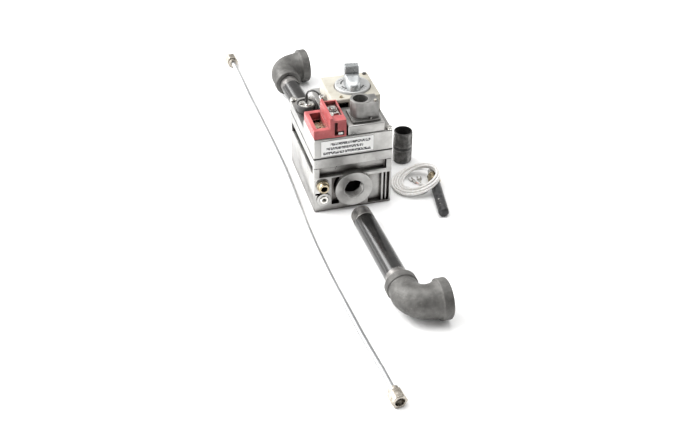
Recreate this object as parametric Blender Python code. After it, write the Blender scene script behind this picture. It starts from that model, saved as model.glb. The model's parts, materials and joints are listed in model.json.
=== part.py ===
"""Parts kit of a millivolt gas control valve, laid out on a bench.

Lengths are millimetres until they reach a mesh. X runs to the right along the valve's outlet side, Y runs
back towards the inlet side and Z is up. The origin is the middle of the valve's base face.
"""

import bmesh
import bpy
import numpy as np
from math import cos, pi, radians, sin, sqrt
from mathutils import Matrix, Vector

MM = 0.001
GAP = 0.3                    # air between two pieces that touch on the real object

# ---- gas valve -------------------------------------------------------------------------------------
VALVE_W = 102.0              # across, along X
VALVE_D = 126.0              # front to back, along Y
BODY_H = 52.0                # height of the lower casting
NECK_H = 13.3                # height of the dark gap under the flange
FLANGE_T = 14.3
COVER_H = 27.8
STEP_DROP = 12.0             # how far the cover's back left corner lies below its top
PORT_Z = 31.2                # height of both port axes
BOSS_R = 24.2
BOSS_OUT = 5.0               # how far a port boss stands out of its wall
PIPE_R = 13.35               # outside radius of 3/4 inch pipe
PIPE_BORE_R = 10.45
THREAD_LEN = 19.0
PORT_R = PIPE_R + 0.25

# ---- regulator -------------------------------------------------------------------------------------
REG_X, REG_Y = 14.3, -41.2   # axis of the regulator and of the main valve under it
TOWER_R = 12.8
TOWER_H = 24.4
TOWER_BORE_R = 9.5
PLATE_T = 12.9
MAIN_LIFT = 3.0

# ---- knob and safety valve -------------------------------------------------------------------------
KNOB_X, KNOB_Y = 21.0, 18.0
KNOB_R = 22.6
KNOB_TURN = -8.0             # degrees from straight back, at rest
KNOB_PRESS = 5.5
GRIP_H = 13.0                # bar on the knob, above its skirt
CREST_H = 9.5                # raised back end of the bar
HOUSING_H = 21.7

# ---- pipe work -------------------------------------------------------------------------------------
NIPPLE_LEN = 165.0
ELBOW_LEG = 42.0             # elbow centre to either face
ELBOW_BAND_R = 19.2          # band on the pipe side
ELBOW_MOUTH_R = 24.4         # band on the open side
ELBOW_BEND_R = 22.0
ENGAGED = 13.0
FRONT_ELBOW = (3.2, -291.0)
REAR_ELBOW = (-18.0, 275.0)
CLOSE_LEN = 46.5
CLOSE_AT = (95.7, 26.1)

# ---- pilot tube ------------------------------------------------------------------------------------
TUBE_R = 3.175
TUBE_BORE_R = 2.4
NUT_FLATS = 15.9
NUT_LEN = 19.0

# ---- thermopile ------------------------------------------------------------------------------------
PROBE_R = 6.7
PROBE_LEN = 70.0
PROBE_NUT = 14.6             # across its flats
PROBE_AT = (117.1, -47.0)    # where the sheath meets its nut
PROBE_AIM = (-0.169, -0.986)
LEAD_R = 1.8
COIL_AT = (96.5, -37.0)
COIL_R = 27.0
COIL_LIFT = 18.0             # height of the ring where it crosses the thermopile's nut

# ---- heights that follow from the above ------------------------------------------------------------
HALF_W = VALVE_W / 2
HALF_D = VALVE_D / 2
NECK_TOP = BODY_H + NECK_H
FLANGE_Z = NECK_TOP + GAP
FLANGE_TOP = FLANGE_Z + FLANGE_T
COVER_Z = FLANGE_TOP + GAP
COVER_TOP = COVER_Z + COVER_H
STEP_TOP = COVER_TOP - STEP_DROP
PLATE_Z = COVER_TOP + GAP
PLATE_TOP = PLATE_Z + PLATE_T
TOWER_Z = PLATE_TOP + GAP
TOWER_TOP = TOWER_Z + TOWER_H
HOUSING_Z = COVER_TOP + GAP
HOUSING_TOP = HOUSING_Z + HOUSING_H
KNOB_TOP = HOUSING_TOP + 3.0
CAVITY_TOP = COVER_TOP - 9.0
SEAT_Z = FLANGE_TOP + 2.0
SAFETY_SEAT_Z = 50.0
POST_X = HALF_W - 3.7
POST_Y = HALF_D - 3.7

for old in list(bpy.data.objects):
    bpy.data.objects.remove(old)

PALETTE = {
    "die_cast": ((0.62, 0.62, 0.61), 0.42, 1.0),
    "steel": ((0.66, 0.66, 0.65), 0.30, 1.0),
    "brass": ((0.62, 0.47, 0.22), 0.32, 1.0),
    "aluminium": ((0.80, 0.80, 0.81), 0.28, 1.0),
    "black_pipe": ((0.030, 0.029, 0.028), 0.35, 0.0),
    "malleable_iron": ((0.16, 0.155, 0.15), 0.60, 0.6),
    "cream_plastic": ((0.80, 0.75, 0.62), 0.45, 0.0),
    "red_plastic": ((0.62, 0.16, 0.16), 0.45, 0.0),
    "black_plastic": ((0.025, 0.025, 0.025), 0.45, 0.0),
    "black_rubber": ((0.03, 0.03, 0.03), 0.75, 0.0),
    "label_paper": ((0.88, 0.88, 0.86), 0.60, 0.0),
    "white_sleeve": ((0.86, 0.85, 0.82), 0.55, 0.0),
    "knob_grey": ((0.55, 0.56, 0.55), 0.45, 0.4),
    "spring_steel": ((0.45, 0.45, 0.46), 0.30, 1.0),
    "sheath_black": ((0.05, 0.05, 0.05), 0.40, 0.6),
}


def material(name):
    found = bpy.data.materials.get(name)
    if found:
        return found
    colour, rough, metal = PALETTE[name]
    made = bpy.data.materials.new(name)
    made.use_nodes = True
    shader = made.node_tree.nodes["Principled BSDF"]
    shader.inputs["Base Color"].default_value = (*colour, 1.0)
    shader.inputs["Roughness"].default_value = rough
    shader.inputs["Metallic"].default_value = metal
    return made


# ---- shapes: each returns (points in mm, faces) -------------------------------------------------------

def box(x, y, z):
    points = [(i, j, k) for k in z for j in y for i in x]
    faces = [(0, 2, 3, 1), (4, 5, 7, 6), (0, 1, 5, 4), (2, 6, 7, 3), (0, 4, 6, 2), (1, 3, 7, 5)]
    return points, faces


def wedge(low, high):
    """Two outlines with the same number of points, joined by side walls."""
    n = len(low)
    sides = [(i, (i + 1) % n, n + (i + 1) % n, n + i) for i in range(n)]
    return list(low) + list(high), [tuple(range(n))[::-1], tuple(range(n, 2 * n))] + sides


def turned(profile, segments=24):
    """A profile of (radius, height) turned about Z. Points on the axis become one vertex."""
    points, rings = [], []
    for radius, height in profile:
        if radius < 1e-6:
            rings.append([len(points)] * segments)
            points.append((0.0, 0.0, height))
            continue
        rings.append(list(range(len(points), len(points) + segments)))
        for k in range(segments):
            a = 2 * pi * k / segments
            points.append((radius * cos(a), radius * sin(a), height))
    faces = []
    on_axis = profile[0][0] < 1e-6 and profile[-1][0] < 1e-6
    last = len(rings) - 1 if on_axis else len(rings)
    for i in range(last):
        one, two = rings[i], rings[(i + 1) % len(rings)]
        for k in range(segments):
            m = (k + 1) % segments
            corners = [one[k], one[m], two[m], two[k]]
            face = []
            for c in corners:
                if c not in face:
                    face.append(c)
            if len(face) > 2:
                faces.append(tuple(face))
    return points, faces


def rod(radius, z0, z1, segments=24):
    return turned([(0, z0), (radius, z0), (radius, z1), (0, z1)], segments)


def ring(inner, outer, z0, z1, segments=24):
    return turned([(inner, z0), (outer, z0), (outer, z1), (inner, z1)], segments)


def hexagon(flats, z0, z1):
    r = flats / sqrt(3)
    outline = [(r * cos(radians(60 * k)), r * sin(radians(60 * k))) for k in range(6)]
    return wedge([(x, y, z0) for x, y in outline], [(x, y, z1) for x, y in outline])


def frames(path):
    """Two directions square to the path at each of its points, carried along without twist."""
    path = np.array(path, float)
    tangent = np.gradient(path, axis=0)
    tangent /= np.linalg.norm(tangent, axis=1)[:, None]
    side = np.cross(tangent[0], (0, 0, 1.0))
    if np.linalg.norm(side) < 0.1:
        side = np.cross(tangent[0], (0, 1.0, 0))
    sides = []
    for t in tangent:
        side = side - t * (side @ t)
        side = side / np.linalg.norm(side)
        sides.append(side)
    sides = np.array(sides)
    return path, sides, np.cross(tangent, sides)


def swept(path, radii, segments, closed=False):
    """Rings of the given radii along the path, with end caps unless it is closed."""
    path, side, up = frames(path)
    radii = np.broadcast_to(np.asarray(radii, float).reshape(-1, 1), (len(path), 1))
    turn = 2 * pi * np.arange(segments) / segments
    rings = (path[:, None, :]
             + radii[:, :, None] * (np.cos(turn)[None, :, None] * side[:, None, :]
                                    + np.sin(turn)[None, :, None] * up[:, None, :]))
    count = len(path)
    faces = []
    for i in range(count if closed else count - 1):
        j = (i + 1) % count
        for k in range(segments):
            m = (k + 1) % segments
            faces.append((i * segments + k, i * segments + m, j * segments + m, j * segments + k))
    if not closed:
        faces.append(tuple(range(segments))[::-1])
        faces.append(tuple(range((count - 1) * segments, count * segments)))
    return [tuple(p) for p in rings.reshape(-1, 3)], faces


def hollow(along, outer, inner, segments):
    """A tube: along(t) gives the middle line, outer and inner are lists of (t, radius) with the same ends."""
    points, faces = [], []
    starts = []
    for stations in (outer, inner):
        shape, walls = swept([along(t) for t, _ in stations], [r for _, r in stations], segments)
        starts.append((len(points), len(stations)))
        faces += [tuple(len(points) + i for i in f) for f in walls[:-2]]
        points += shape
    (a, n), (b, m) = starts
    for k in range(segments):
        j = (k + 1) % segments
        faces.append((a + k, a + j, b + j, b + k))
        faces.append((a + (n - 1) * segments + k, b + (m - 1) * segments + k,
                      b + (m - 1) * segments + j, a + (n - 1) * segments + j))
    return points, faces


def moved(shape, by):
    points, faces = shape
    return [(x + by[0], y + by[1], z + by[2]) for x, y, z in points], faces


def along_y(shape, x, z):
    """Turns a shape made about Z so that its Z runs to the front (minus Y), at the given X and Z."""
    points, faces = shape
    return [(x + px, -pz, z + py) for px, py, pz in points], faces


def spun(shape, degrees, x=0.0, y=0.0):
    points, faces = shape
    c, s = cos(radians(degrees)), sin(radians(degrees))
    return [(x + px * c - py * s, y + px * s + py * c, pz) for px, py, pz in points], faces


# ---- objects ---------------------------------------------------------------------------------------

def mesh_of(name, shape):
    points, faces = shape
    mesh = bpy.data.meshes.new(name)
    mesh.from_pydata([(x * MM, y * MM, z * MM) for x, y, z in points], [], faces)
    work = bmesh.new()
    work.from_mesh(mesh)
    bmesh.ops.recalc_face_normals(work, faces=work.faces)
    if work.calc_volume(signed=True) < 0:
        bmesh.ops.reverse_faces(work, faces=work.faces)
    work.to_mesh(mesh)
    work.free()
    return mesh


def piece(name, shape, finish, smooth=True):
    mesh = mesh_of(name, shape)
    mesh.materials.append(material(finish))
    for polygon in mesh.polygons:
        polygon.use_smooth = smooth
    mesh.set_sharp_from_angle(angle=radians(35))
    made = bpy.data.objects.new(name, mesh)
    bpy.context.scene.collection.objects.link(made)
    return made


def helper(shape):
    made = bpy.data.objects.new("cutter", mesh_of("cutter", shape))
    bpy.context.scene.collection.objects.link(made)
    made.hide_render = True
    made.display_type = "WIRE"
    return made


def join_with(target, operation, *shapes):
    for shape in shapes:
        other = helper(shape)
        other.parent = target
        step = target.modifiers.new(operation.lower(), "BOOLEAN")
        step.operation = operation
        step.object = other
        step.solver = "EXACT"
        step.use_hole_tolerant = True
    return target


def cut(target, *shapes):
    return join_with(target, "DIFFERENCE", *shapes)


def fuse(target, *shapes):
    return join_with(target, "UNION", *shapes)


def rounded(target, width, segments=2):
    step = target.modifiers.new("edges", "BEVEL")
    step.width = width * MM
    step.segments = segments
    step.limit_method = "ANGLE"
    step.angle_limit = radians(40)
    return target


def placed(target, at, turn=(0.0, 0.0, 0.0)):
    target.location = tuple(c * MM for c in at)
    target.rotation_euler = turn
    return target


# ---- lower casting ---------------------------------------------------------------------------------

def valve_body():
    body = piece("valve_body", box((-HALF_W, HALF_W), (-HALF_D, HALF_D), (0, BODY_H)), "die_cast")
    rounded(body, 1.6)
    front = -HALF_D
    cut(body,
        box((20, HALF_W - 2.6), (front - 2, front + 7), (3.0, 46.5)),
        box((-28.2, -18), (front - 2, front + 6), (9, 50)),
        box((-49.4, -43.4), (front - 2, front + 3), (26.0, 28.6)))
    fuse(body,
         along_y(rod(BOSS_R, HALF_D - 13, HALF_D + BOSS_OUT, 36), 0, PORT_Z),
         along_y(rod(BOSS_R, -HALF_D - BOSS_OUT, -HALF_D + 13, 36), 0, PORT_Z),
         box((-42, 42), (-HALF_D + 7, HALF_D - 7), (BODY_H - 2, NECK_TOP)),
         box((38.2, 40.4), (front + 1.2, front + 9), (1.5, 48)),
         box((43.6, 45.0), (front + 1.8, front + 9), (1.5, 48)),
         along_y(rod(9.0, HALF_D - 4, HALF_D + 2.5, 24), -38.7, 19.5),
         along_y(rod(9.0, HALF_D - 4, HALF_D + 1.5, 24), -40.1, 41.0))
    for x in (-1, 1):
        for y in (-1, 1):
            edge_x = sorted((x * (HALF_W - 7.2), x * (HALF_W - 0.4)))
            edge_y = sorted((y * (HALF_D - 7.2), y * (HALF_D - 0.4)))
            fuse(body, box(edge_x, edge_y, (BODY_H - 2, NECK_TOP)))
    cut(body,
        along_y(rod(PORT_R, HALF_D - 12, HALF_D + 6, 24), 0, PORT_Z),
        along_y(rod(PORT_R, -HALF_D - 6, -HALF_D + 12, 24), 0, PORT_Z),
        box((-22, 34), (-HALF_D + 11, -12), (14, NECK_TOP + 1)),
        box((-22, 34), (-4, HALF_D - 11), (14, SAFETY_SEAT_Z)),
        box((-12, 36), (-4, HALF_D - 11), (SAFETY_SEAT_Z + 4, NECK_TOP + 1)),
        moved(rod(8.0, SAFETY_SEAT_Z - 1, SAFETY_SEAT_Z + 5, 24), (KNOB_X, KNOB_Y, 0)),
        moved(rod(10.6, -1, 15, 24), (KNOB_X, KNOB_Y, 0)),
        along_y(rod(6.2, HALF_D - 9, HALF_D + 4, 24), -38.7, 19.5),
        along_y(rod(5.2, HALF_D - 10, HALF_D + 4, 24), -40.1, 41.0))
    for x, y in ((POST_X, -POST_Y), (POST_X, POST_Y), (-POST_X, POST_Y)):
        cut(body, moved(rod(2.25, NECK_TOP - 9, NECK_TOP + 1, 12), (x, y, 0)))


def screw_holes(target, low, high):
    for x, y in ((POST_X, -POST_Y), (POST_X, POST_Y), (-POST_X, POST_Y)):
        cut(target, moved(rod(2.25, low, high, 12), (x, y, 0)))


def flange_plate():
    slab = box((-HALF_W, HALF_W), (-HALF_D, HALF_D), (FLANGE_Z, FLANGE_TOP))
    plate = piece("flange_plate", slab, "die_cast")
    rounded(plate, 0.9, 1)
    fuse(plate,
         moved(rod(11.6, FLANGE_TOP - 2, SEAT_Z, 24), (REG_X, REG_Y, 0)),
         moved(rod(14.2, FLANGE_TOP - 2, FLANGE_TOP + 13, 24), (KNOB_X, KNOB_Y, 0)))
    cut(plate,
        moved(rod(10.0, FLANGE_Z - 1, SEAT_Z + 1, 24), (REG_X, REG_Y, 0)),
        moved(rod(11.0, FLANGE_Z - 1, FLANGE_TOP + 14, 24), (KNOB_X, KNOB_Y, 0)),
        box((KNOB_X - 4.5, KNOB_X + 4.5), (KNOB_Y - 17, KNOB_Y - 8),
            (FLANGE_TOP + 1.5, FLANGE_TOP + 9.5)))
    screw_holes(plate, FLANGE_Z - 1, FLANGE_TOP + 1)


def cover():
    shell = piece("cover", box((-HALF_W, HALF_W), (-HALF_D, HALF_D), (COVER_Z, COVER_TOP)), "die_cast")
    rounded(shell, 1.2, 1)
    cut(shell,
        box((-HALF_W - 3, -23.5), (-12, HALF_D + 3), (STEP_TOP, COVER_TOP + 3)),
        box((-20, 42), (-HALF_D + 3.5, HALF_D - 7.5), (COVER_Z - 1, CAVITY_TOP)),
        moved(rod(14.5, CAVITY_TOP - 1, COVER_TOP + 1, 40), (REG_X, REG_Y, 0)),
        moved(rod(19.0, COVER_TOP - 1.6, COVER_TOP + 1, 40), (REG_X, REG_Y, 0)),
        moved(rod(4.9, CAVITY_TOP - 1, COVER_TOP + 1, 20), (KNOB_X, KNOB_Y, 0)),
        moved(rod(12.8, STEP_TOP - 2.6, STEP_TOP + 1, 24), (-37, 31, 0)))
    screw_holes(shell, COVER_Z - 1, COVER_TOP + 1)


def long_screw(name, x, y, head_z):
    """A slotted pan head on a long shank that reaches the corner post."""
    screw = piece(name, moved(turned([(0, NECK_TOP - 7), (1.9, NECK_TOP - 7), (1.9, head_z), (4.3, head_z),
                                      (4.3, head_z + 1.8), (3.4, head_z + 3.0), (0, head_z + 3.0)], 12),
                              (x, y, 0)), "steel")
    cut(screw, box((x - 5, x + 5), (y - 0.5, y + 0.5), (head_z + 2.0, head_z + 4)))


def small_screw(name, x, y, z, radius, height, finish, slot=0.9, turn=20.0):
    """A slotted head that sits on the face at height z."""
    screw = piece(name, moved(turned([(0, z), (radius, z), (radius, z + height * 0.6),
                                      (radius * 0.8, z + height), (0, z + height)], 12), (x, y, 0)), finish)
    cut(screw, spun(box((-radius - 1, radius + 1), (-slot / 2, slot / 2), (z + height * 0.55, z + height + 1)),
                    turn, x, y))


# ---- regulator -------------------------------------------------------------------------------------

def regulator():
    plate = piece("regulator_plate", box((-7, 40), (-HALF_D + 0.2, -16), (PLATE_Z, PLATE_TOP)), "die_cast")
    rounded(plate, 1.3)
    cut(plate,
        moved(rod(9.9, PLATE_Z - 1, PLATE_TOP + 1, 24), (REG_X, REG_Y, 0)),
        moved(rod(16.5, PLATE_Z - 1, PLATE_Z + 4, 24), (REG_X, REG_Y, 0)))
    tower = piece("regulator_tower",
                  moved(rod(TOWER_R, TOWER_Z, TOWER_TOP, 40), (REG_X, REG_Y, 0)), "die_cast")
    fuse(tower,
         box((0.4, 36), (-57.8, -26), (TOWER_Z, TOWER_Z + 2.0)),
         box((REG_X, 34.6), (-53.8, -33), (TOWER_Z + 0.5, TOWER_TOP - 0.6)))
    cut(tower,
        moved(rod(TOWER_BORE_R, TOWER_Z - 1, TOWER_TOP + 1, 24), (REG_X, REG_Y, 0)),
        moved(rod(1.9, TOWER_TOP - 5, TOWER_TOP, 12), (30.6, -50.6, 0)))
    vent = rod(1.6, TOWER_TOP - 4.6, TOWER_TOP + 1.4, 12)
    piece("vent_plug", moved(vent, (30.6, -50.6, 0)), "cream_plastic")
    small_screw("plate_screw", 24.0, -55.4, TOWER_Z + 2.3, 1.4, 1.8, "steel", 0.5, 40)


def regulator_inside():
    low = TOWER_Z + 4.4
    piece("spring_seat", moved(rod(7.4, low, low + 1.2, 20), (REG_X, REG_Y, 0)), "brass")
    low += 1.5
    screw = piece("regulator_screw",
                  moved(turned([(0, low), (9.2, low), (9.2, low + 5.2), (6.0, low + 5.2), (5.5, low + 3.8),
                                (0, low + 3.8)]), (REG_X, REG_Y, 0)), "black_plastic")
    cut(screw, box((REG_X - 4.5, REG_X + 4.5), (REG_Y - 0.9, REG_Y + 0.9), (low + 2.0, low + 7)))
    z = COVER_TOP
    piece("regulator_diaphragm",
          moved(turned([(18.6, z - 1.3), (18.6, z - 0.5), (13.6, z - 0.5), (9.8, z - 6.6), (1.9, z - 6.6),
                        (1.9, z - 7.4), (10.4, z - 7.4), (14.2, z - 1.3)], 24), (REG_X, REG_Y, 0)), "black_rubber")
    piece("diaphragm_plate", moved(ring(1.9, 8.8, z - 6.3, z - 4.6, 24), (REG_X, REG_Y, 0)), "aluminium")
    low, high = z - 4.3, TOWER_Z + 4.1
    piece("regulator_spring", coil_spring(REG_X, REG_Y, low, high, 6.2, 0.75, 5), "spring_steel")
    s = SEAT_Z
    piece("main_valve_facing", moved(ring(8.6, 12.2, s + 0.3, s + 1.3, 24), (REG_X, REG_Y, 0)), "black_rubber")
    piece("main_valve",
          moved(turned([(0, s + 1.6), (12.2, s + 1.6), (12.2, s + 3.2), (1.6, s + 3.2), (1.6, z - 3.2),
                        (0, z - 3.2)], 24), (REG_X, REG_Y, 0)), "steel")
    piece("main_valve_spring", coil_spring(REG_X, REG_Y, s + 3.5, z - 7.8, 5.2, 0.6, 4), "spring_steel")


def coil_spring(x, y, low, high, radius, wire, turns):
    """A helix with its wire's ends just inside low and high."""
    steps = 8 * turns
    a = np.linspace(0, 2 * pi * turns, steps + 1)
    z = np.interp(a, (0, 2.2, a[-1] - 2.2, a[-1]), (low + wire, low + wire + 0.3, high - wire - 0.3, high - wire))
    path = np.stack([x + radius * np.cos(a), y + radius * np.sin(a), z], axis=1)
    return swept(path, wire, 5)


# ---- knob, gas cock and safety valve -----------------------------------------------------------------

def knob_group():
    top = KNOB_TOP
    skirt = turned([(0, top), (KNOB_R - 1, top), (KNOB_R, top - 1), (KNOB_R, top - 11),
                    (KNOB_R - 2.6, top - 11), (KNOB_R - 2.6, top - 3), (7.6, top - 3), (7.6, top - 15),
                    (0, top - 15)], 48)
    knob = piece("knob", moved(skirt, (KNOB_X, KNOB_Y, 0)), "knob_grey")
    low, high = top - 0.8, top + GRIP_H
    nose = [(sin(radians(15 * k)), -cos(radians(15 * k))) for k in range(-6, 7)]
    foot = [(10.6 * x, -11.0 + 10.2 * y) for x, y in nose] + [(10.6, 15.2), (-10.6, 15.2)]
    ridge = [(8.8 * x, -11.0 + 8.6 * y) for x, y in nose] + [(8.8, 14.6), (-8.8, 14.6)]
    grip = wedge([(x, y, low) for x, y in foot], [(x, y, high) for x, y in ridge])
    crest = wedge([(x, y, high - 1) for x, y in ((-9.7, 3.6), (9.7, 3.6), (9.7, 14.9), (-9.7, 14.9))],
                  [(x, y, high + CREST_H) for x, y in ((-9.0, 4.4), (9.0, 4.4), (9.0, 14.4), (-9.0, 14.4))])
    fuse(knob, spun(grip, KNOB_TURN, KNOB_X, KNOB_Y), spun(crest, KNOB_TURN, KNOB_X, KNOB_Y))
    cut(knob, spun(box((-3.4, 3.4), (-3.4, 3.4), (top - 16, top - 4)), 0, KNOB_X, KNOB_Y))
    cock_top = FLANGE_TOP + 12.6
    shank = box((-3.1, 3.1), (-3.1, 3.1), (cock_top - 6, top - 4.4))
    stem = piece("knob_stem", moved(shank, (KNOB_X, KNOB_Y, 0)), "steel")
    fuse(stem, moved(rod(1.5, SAFETY_SEAT_Z + 0.2, cock_top - 5, 12), (KNOB_X, KNOB_Y, 0)))
    cock = piece("gas_cock", moved(cock_shape(cock_top), (KNOB_X, KNOB_Y, 0)), "brass")
    cut(cock,
        spun(box((-3.45, 3.45), (-3.45, 3.45), (cock_top - 6, cock_top + 1)), 0, KNOB_X, KNOB_Y),
        moved(turned_side(3.4, 5.0, 12.0, FLANGE_TOP + 5.0), (KNOB_X, KNOB_Y, 0)))
    piece("knob_spring", coil_spring(KNOB_X, KNOB_Y, COVER_TOP + 0.3, top - 3.3, 10.5, 0.8, 5), "spring_steel")


def cock_shape(cock_top):
    """A plug with a slight taper and a blind bore from below, closed at the top."""
    return turned([(0, cock_top), (10.65, cock_top), (10.5, FLANGE_Z + 0.4), (6.5, FLANGE_Z + 0.4),
                   (6.5, cock_top - 4.6), (0, cock_top - 4.6)], 24)


def turned_side(radius, x0, x1, z):
    """A rod that lies along X at the given height."""
    points, faces = rod(radius, x0, x1, 16)
    return [(pz, px, z + py) for px, py, pz in points], faces


def safety_valve():
    s = SAFETY_SEAT_Z
    at = (KNOB_X, KNOB_Y, 0)
    disc = turned([(0, s - 0.2), (2.4, s - 0.2), (2.6, s - 0.5), (9.4, s - 0.5), (9.4, s - 3.2),
                   (1.6, s - 3.2), (1.6, s - 2.2), (0, s - 2.2)], 24)
    piece("safety_disc", moved(disc, at), "black_rubber")
    keeper = turned([(0, s - 2.5), (1.2, s - 2.5), (1.2, s - 7.6), (5.2, s - 7.6), (5.2, s - 9.6),
                     (0, s - 9.6)], 20)
    piece("armature", moved(keeper, at), "steel")
    magnet_top = s - 9.6 - KNOB_PRESS - 0.3
    piece("power_unit", moved(turned([(0, 0.4), (10.2, 0.4), (10.2, 13.6), (8.8, 14.6), (8.8, magnet_top),
                                      (0, magnet_top)], 24), at), "brass")
    piece("safety_spring", coil_spring(KNOB_X, KNOB_Y, magnet_top + 0.3, s - 3.5, 7.1, 0.6, 4), "spring_steel")


def housing():
    shell = piece("knob_housing", box((-14, 50), (-12, 50), (HOUSING_Z, HOUSING_TOP)), "cream_plastic")
    rounded(shell, 1.5)
    cut(shell,
        box((-11.5, 47.5), (-9.5, 47.5), (HOUSING_Z - 1, HOUSING_TOP - 2.5)),
        box((-9, 8), (-14, -8), (HOUSING_Z - 1, HOUSING_TOP - 5)),
        moved(rod(KNOB_R + 0.9, HOUSING_TOP - 5, HOUSING_TOP + 1, 48), (KNOB_X, KNOB_Y, 0)))
    small_screw("housing_screw_front", -0.5, -6.4, HOUSING_TOP + 0.3, 2.3, 1.5, "brass")
    small_screw("housing_screw_back", 44.5, 44.2, HOUSING_TOP + 0.3, 2.6, 1.8, "black_plastic", turn=70)


def inlet_screen():
    disc = rod(PORT_R - 0.35, -HALF_D + 6.5, -HALF_D + 8.0, 24)
    screen = piece("inlet_screen", along_y(disc, 0, PORT_Z), "steel")
    for k in range(7):
        r = 0 if k == 6 else 7.6
        a = radians(60 * k)
        cut(screen, along_y(rod(2.5, -HALF_D + 5, -HALF_D + 10, 10), r * cos(a), PORT_Z + r * sin(a)))


# ---- terminals ---------------------------------------------------------------------------------------

def terminals():
    z = COVER_TOP + GAP
    front, back = -HALF_D + 0.4, -13.0
    block = piece("terminal_block", box((-HALF_W + 0.6, -28), (front, back), (z, z + 12.6)), "red_plastic")
    rounded(block, 0.8, 1)
    fuse(block,
         box((-29.6, -9.3), (front, back), (z, z + 23.5)),
         box((-29.6, -26.4), (front, back + 0.01), (z + 1, z + 27)))
    cut(block,
        box((-45.5, -31.5), (-57, -20), (z + 3.6, z + 14)),
        box((-25.2, -10.6), (-50, -15), (z + 18, z + 29)),
        box((-24.2, -20.2), (front - 1, front + 8), (z + 2.2, z + 20.6)),
        box((-20.6, -12.0), (front - 1, front + 6), (z + 2.2, z + 8.4)))
    small_screw("terminal_screw_left", -38.5, -46.5, z + 3.9, 4.2, 3.4, "brass", 1.1, 35)
    plate = piece("terminal_plate", box((-24, -11.8), (-44, -17), (z + 18.3, z + 19.3)), "steel")
    fuse(plate, box((-20.5, -13.5), (-44.0, -42.8), (z + 18.5, z + 23.0)))
    small_screw("terminal_screw_right", -17.6, -28.5, z + 19.6, 4.3, 3.2, "steel", 1.1, -15)
    piece("terminal_tab", box((-19.4, -13.4), (front + 0.2, front + 5.4), (z + 3.2, z + 6.4)), "steel")
    post = piece("terminal_post", moved(turned([(0, z), (3.2, z), (3.2, z + 11), (4.1, z + 11), (4.1, z + 13),
                                                (3.2, z + 14.2), (0, z + 14.2)], 12), (-19.3, 17, 0)), "steel")
    cut(post, spun(box((-5, 5), (-0.5, 0.5), (z + 13, z + 16)), 30, -19.3, 17))


def cap_and_jumper():
    base = STEP_TOP - 2.3
    top = STEP_TOP + 10.4
    piece("magnet_cap",
          moved(turned([(0, base), (12.4, base), (12.4, top - 0.8), (11.7, top), (10.6, top), (10.4, top - 1.4),
                        (0, top - 1.4)], 24), (-37, 31, 0)), "black_plastic")
    small_screw("cap_screw_left", -43.0, 32.2, top - 1.1, 3.1, 2.3, "steel", 0.9, 10)
    small_screw("cap_screw_right", -35.2, 26.6, top - 1.1, 4.4, 2.6, "steel", 1.0, 60)
    route = [(-35.2, 36.6, top - 1.0), (-35.2, 36.4, top + 4.0), (-34.4, 35.6, top + 11.0),
             (-31.2, 33.4, top + 15.2), (-26.2, 29.6, top + 16.6), (-22.2, 25.8, top + 14.8),
             (-20.3, 22.8, top + 10.4), (-19.8, 21.9, top + 5.2)]
    path = smooth_route(route, 22)
    radii = np.where(np.arange(len(path)) < 5, 2.1, 1.2)
    piece("jumper_wire", swept(path, radii, 8), "black_rubber")


def smooth_route(route, count):
    """A smooth curve through the route's points, cut into equal steps (Catmull-Rom)."""
    p = np.array(route, float)
    p = np.vstack([2 * p[0] - p[1], p, 2 * p[-1] - p[-2]])
    out = []
    for i in range(1, len(p) - 2):
        for t in np.linspace(0, 1, 12, endpoint=False):
            out.append(0.5 * ((2 * p[i]) + (-p[i - 1] + p[i + 1]) * t
                              + (2 * p[i - 1] - 5 * p[i] + 4 * p[i + 1] - p[i + 2]) * t ** 2
                              + (-p[i - 1] + 3 * p[i] - 3 * p[i + 1] + p[i + 2]) * t ** 3))
    out.append(p[-2])
    out = np.array(out)
    run = np.concatenate([[0], np.cumsum(np.linalg.norm(np.diff(out, axis=0), axis=1))])
    at = np.linspace(0, run[-1], count)
    return np.stack([np.interp(at, run, out[:, k]) for k in range(3)], axis=1)


def label():
    y = -HALF_D - 0.3
    piece("rating_label", box((-41.5, 25.5), (y - 0.4, y), (COVER_Z + 3.4, COVER_TOP - 3.2)), "label_paper")


def outlet_side_fittings():
    fitting = turned([(4.1, HALF_D - 8), (4.9, HALF_D - 8), (4.9, HALF_D + 1.8), (8.0, HALF_D + 1.8),
                      (8.0, HALF_D + 5.4), (6.5, HALF_D + 5.8), (6.3, HALF_D + 10), (5.7, HALF_D + 10.5),
                      (4.1, HALF_D + 10.5)], 20)
    piece("pilot_fitting", along_y(fitting, -40.1, 41.0), "brass")
    plug = piece("pressure_plug", along_y(turned([(0, HALF_D - 8), (5.9, HALF_D - 8), (5.9, HALF_D + 3.0),
                                                  (5.2, HALF_D + 3.8), (0, HALF_D + 3.8)], 24), -38.7, 19.5), "steel")
    cut(plug, along_y(hexagon(5.2, HALF_D - 2, HALF_D + 5), -38.7, 19.5))


# ---- pipe work -----------------------------------------------------------------------------------------

def straight(direction, start=(0.0, 0.0, 0.0)):
    d = np.array(direction, float) / np.linalg.norm(direction)
    s = np.array(start, float)
    return lambda t: s + d * t


def nipple(name, length):
    """Pipe along Z, its threads tapering towards both ends."""
    step = 0.35
    r = PIPE_R
    outer = [(0, r - 1.0), (1.2, r - 0.45), (THREAD_LEN, r - step + 0.3), (THREAD_LEN + 0.3, r),
             (length - THREAD_LEN - 0.3, r), (length - THREAD_LEN, r - step + 0.3), (length - 1.2, r - 0.45),
             (length, r - 1.0)]
    inner = [(0, PIPE_BORE_R + 0.5), (1.0, PIPE_BORE_R), (length - 1.0, PIPE_BORE_R), (length, PIPE_BORE_R + 0.5)]
    return piece(name, hollow(straight((0, 0, 1)), outer, inner, 24), "black_pipe")


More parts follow.
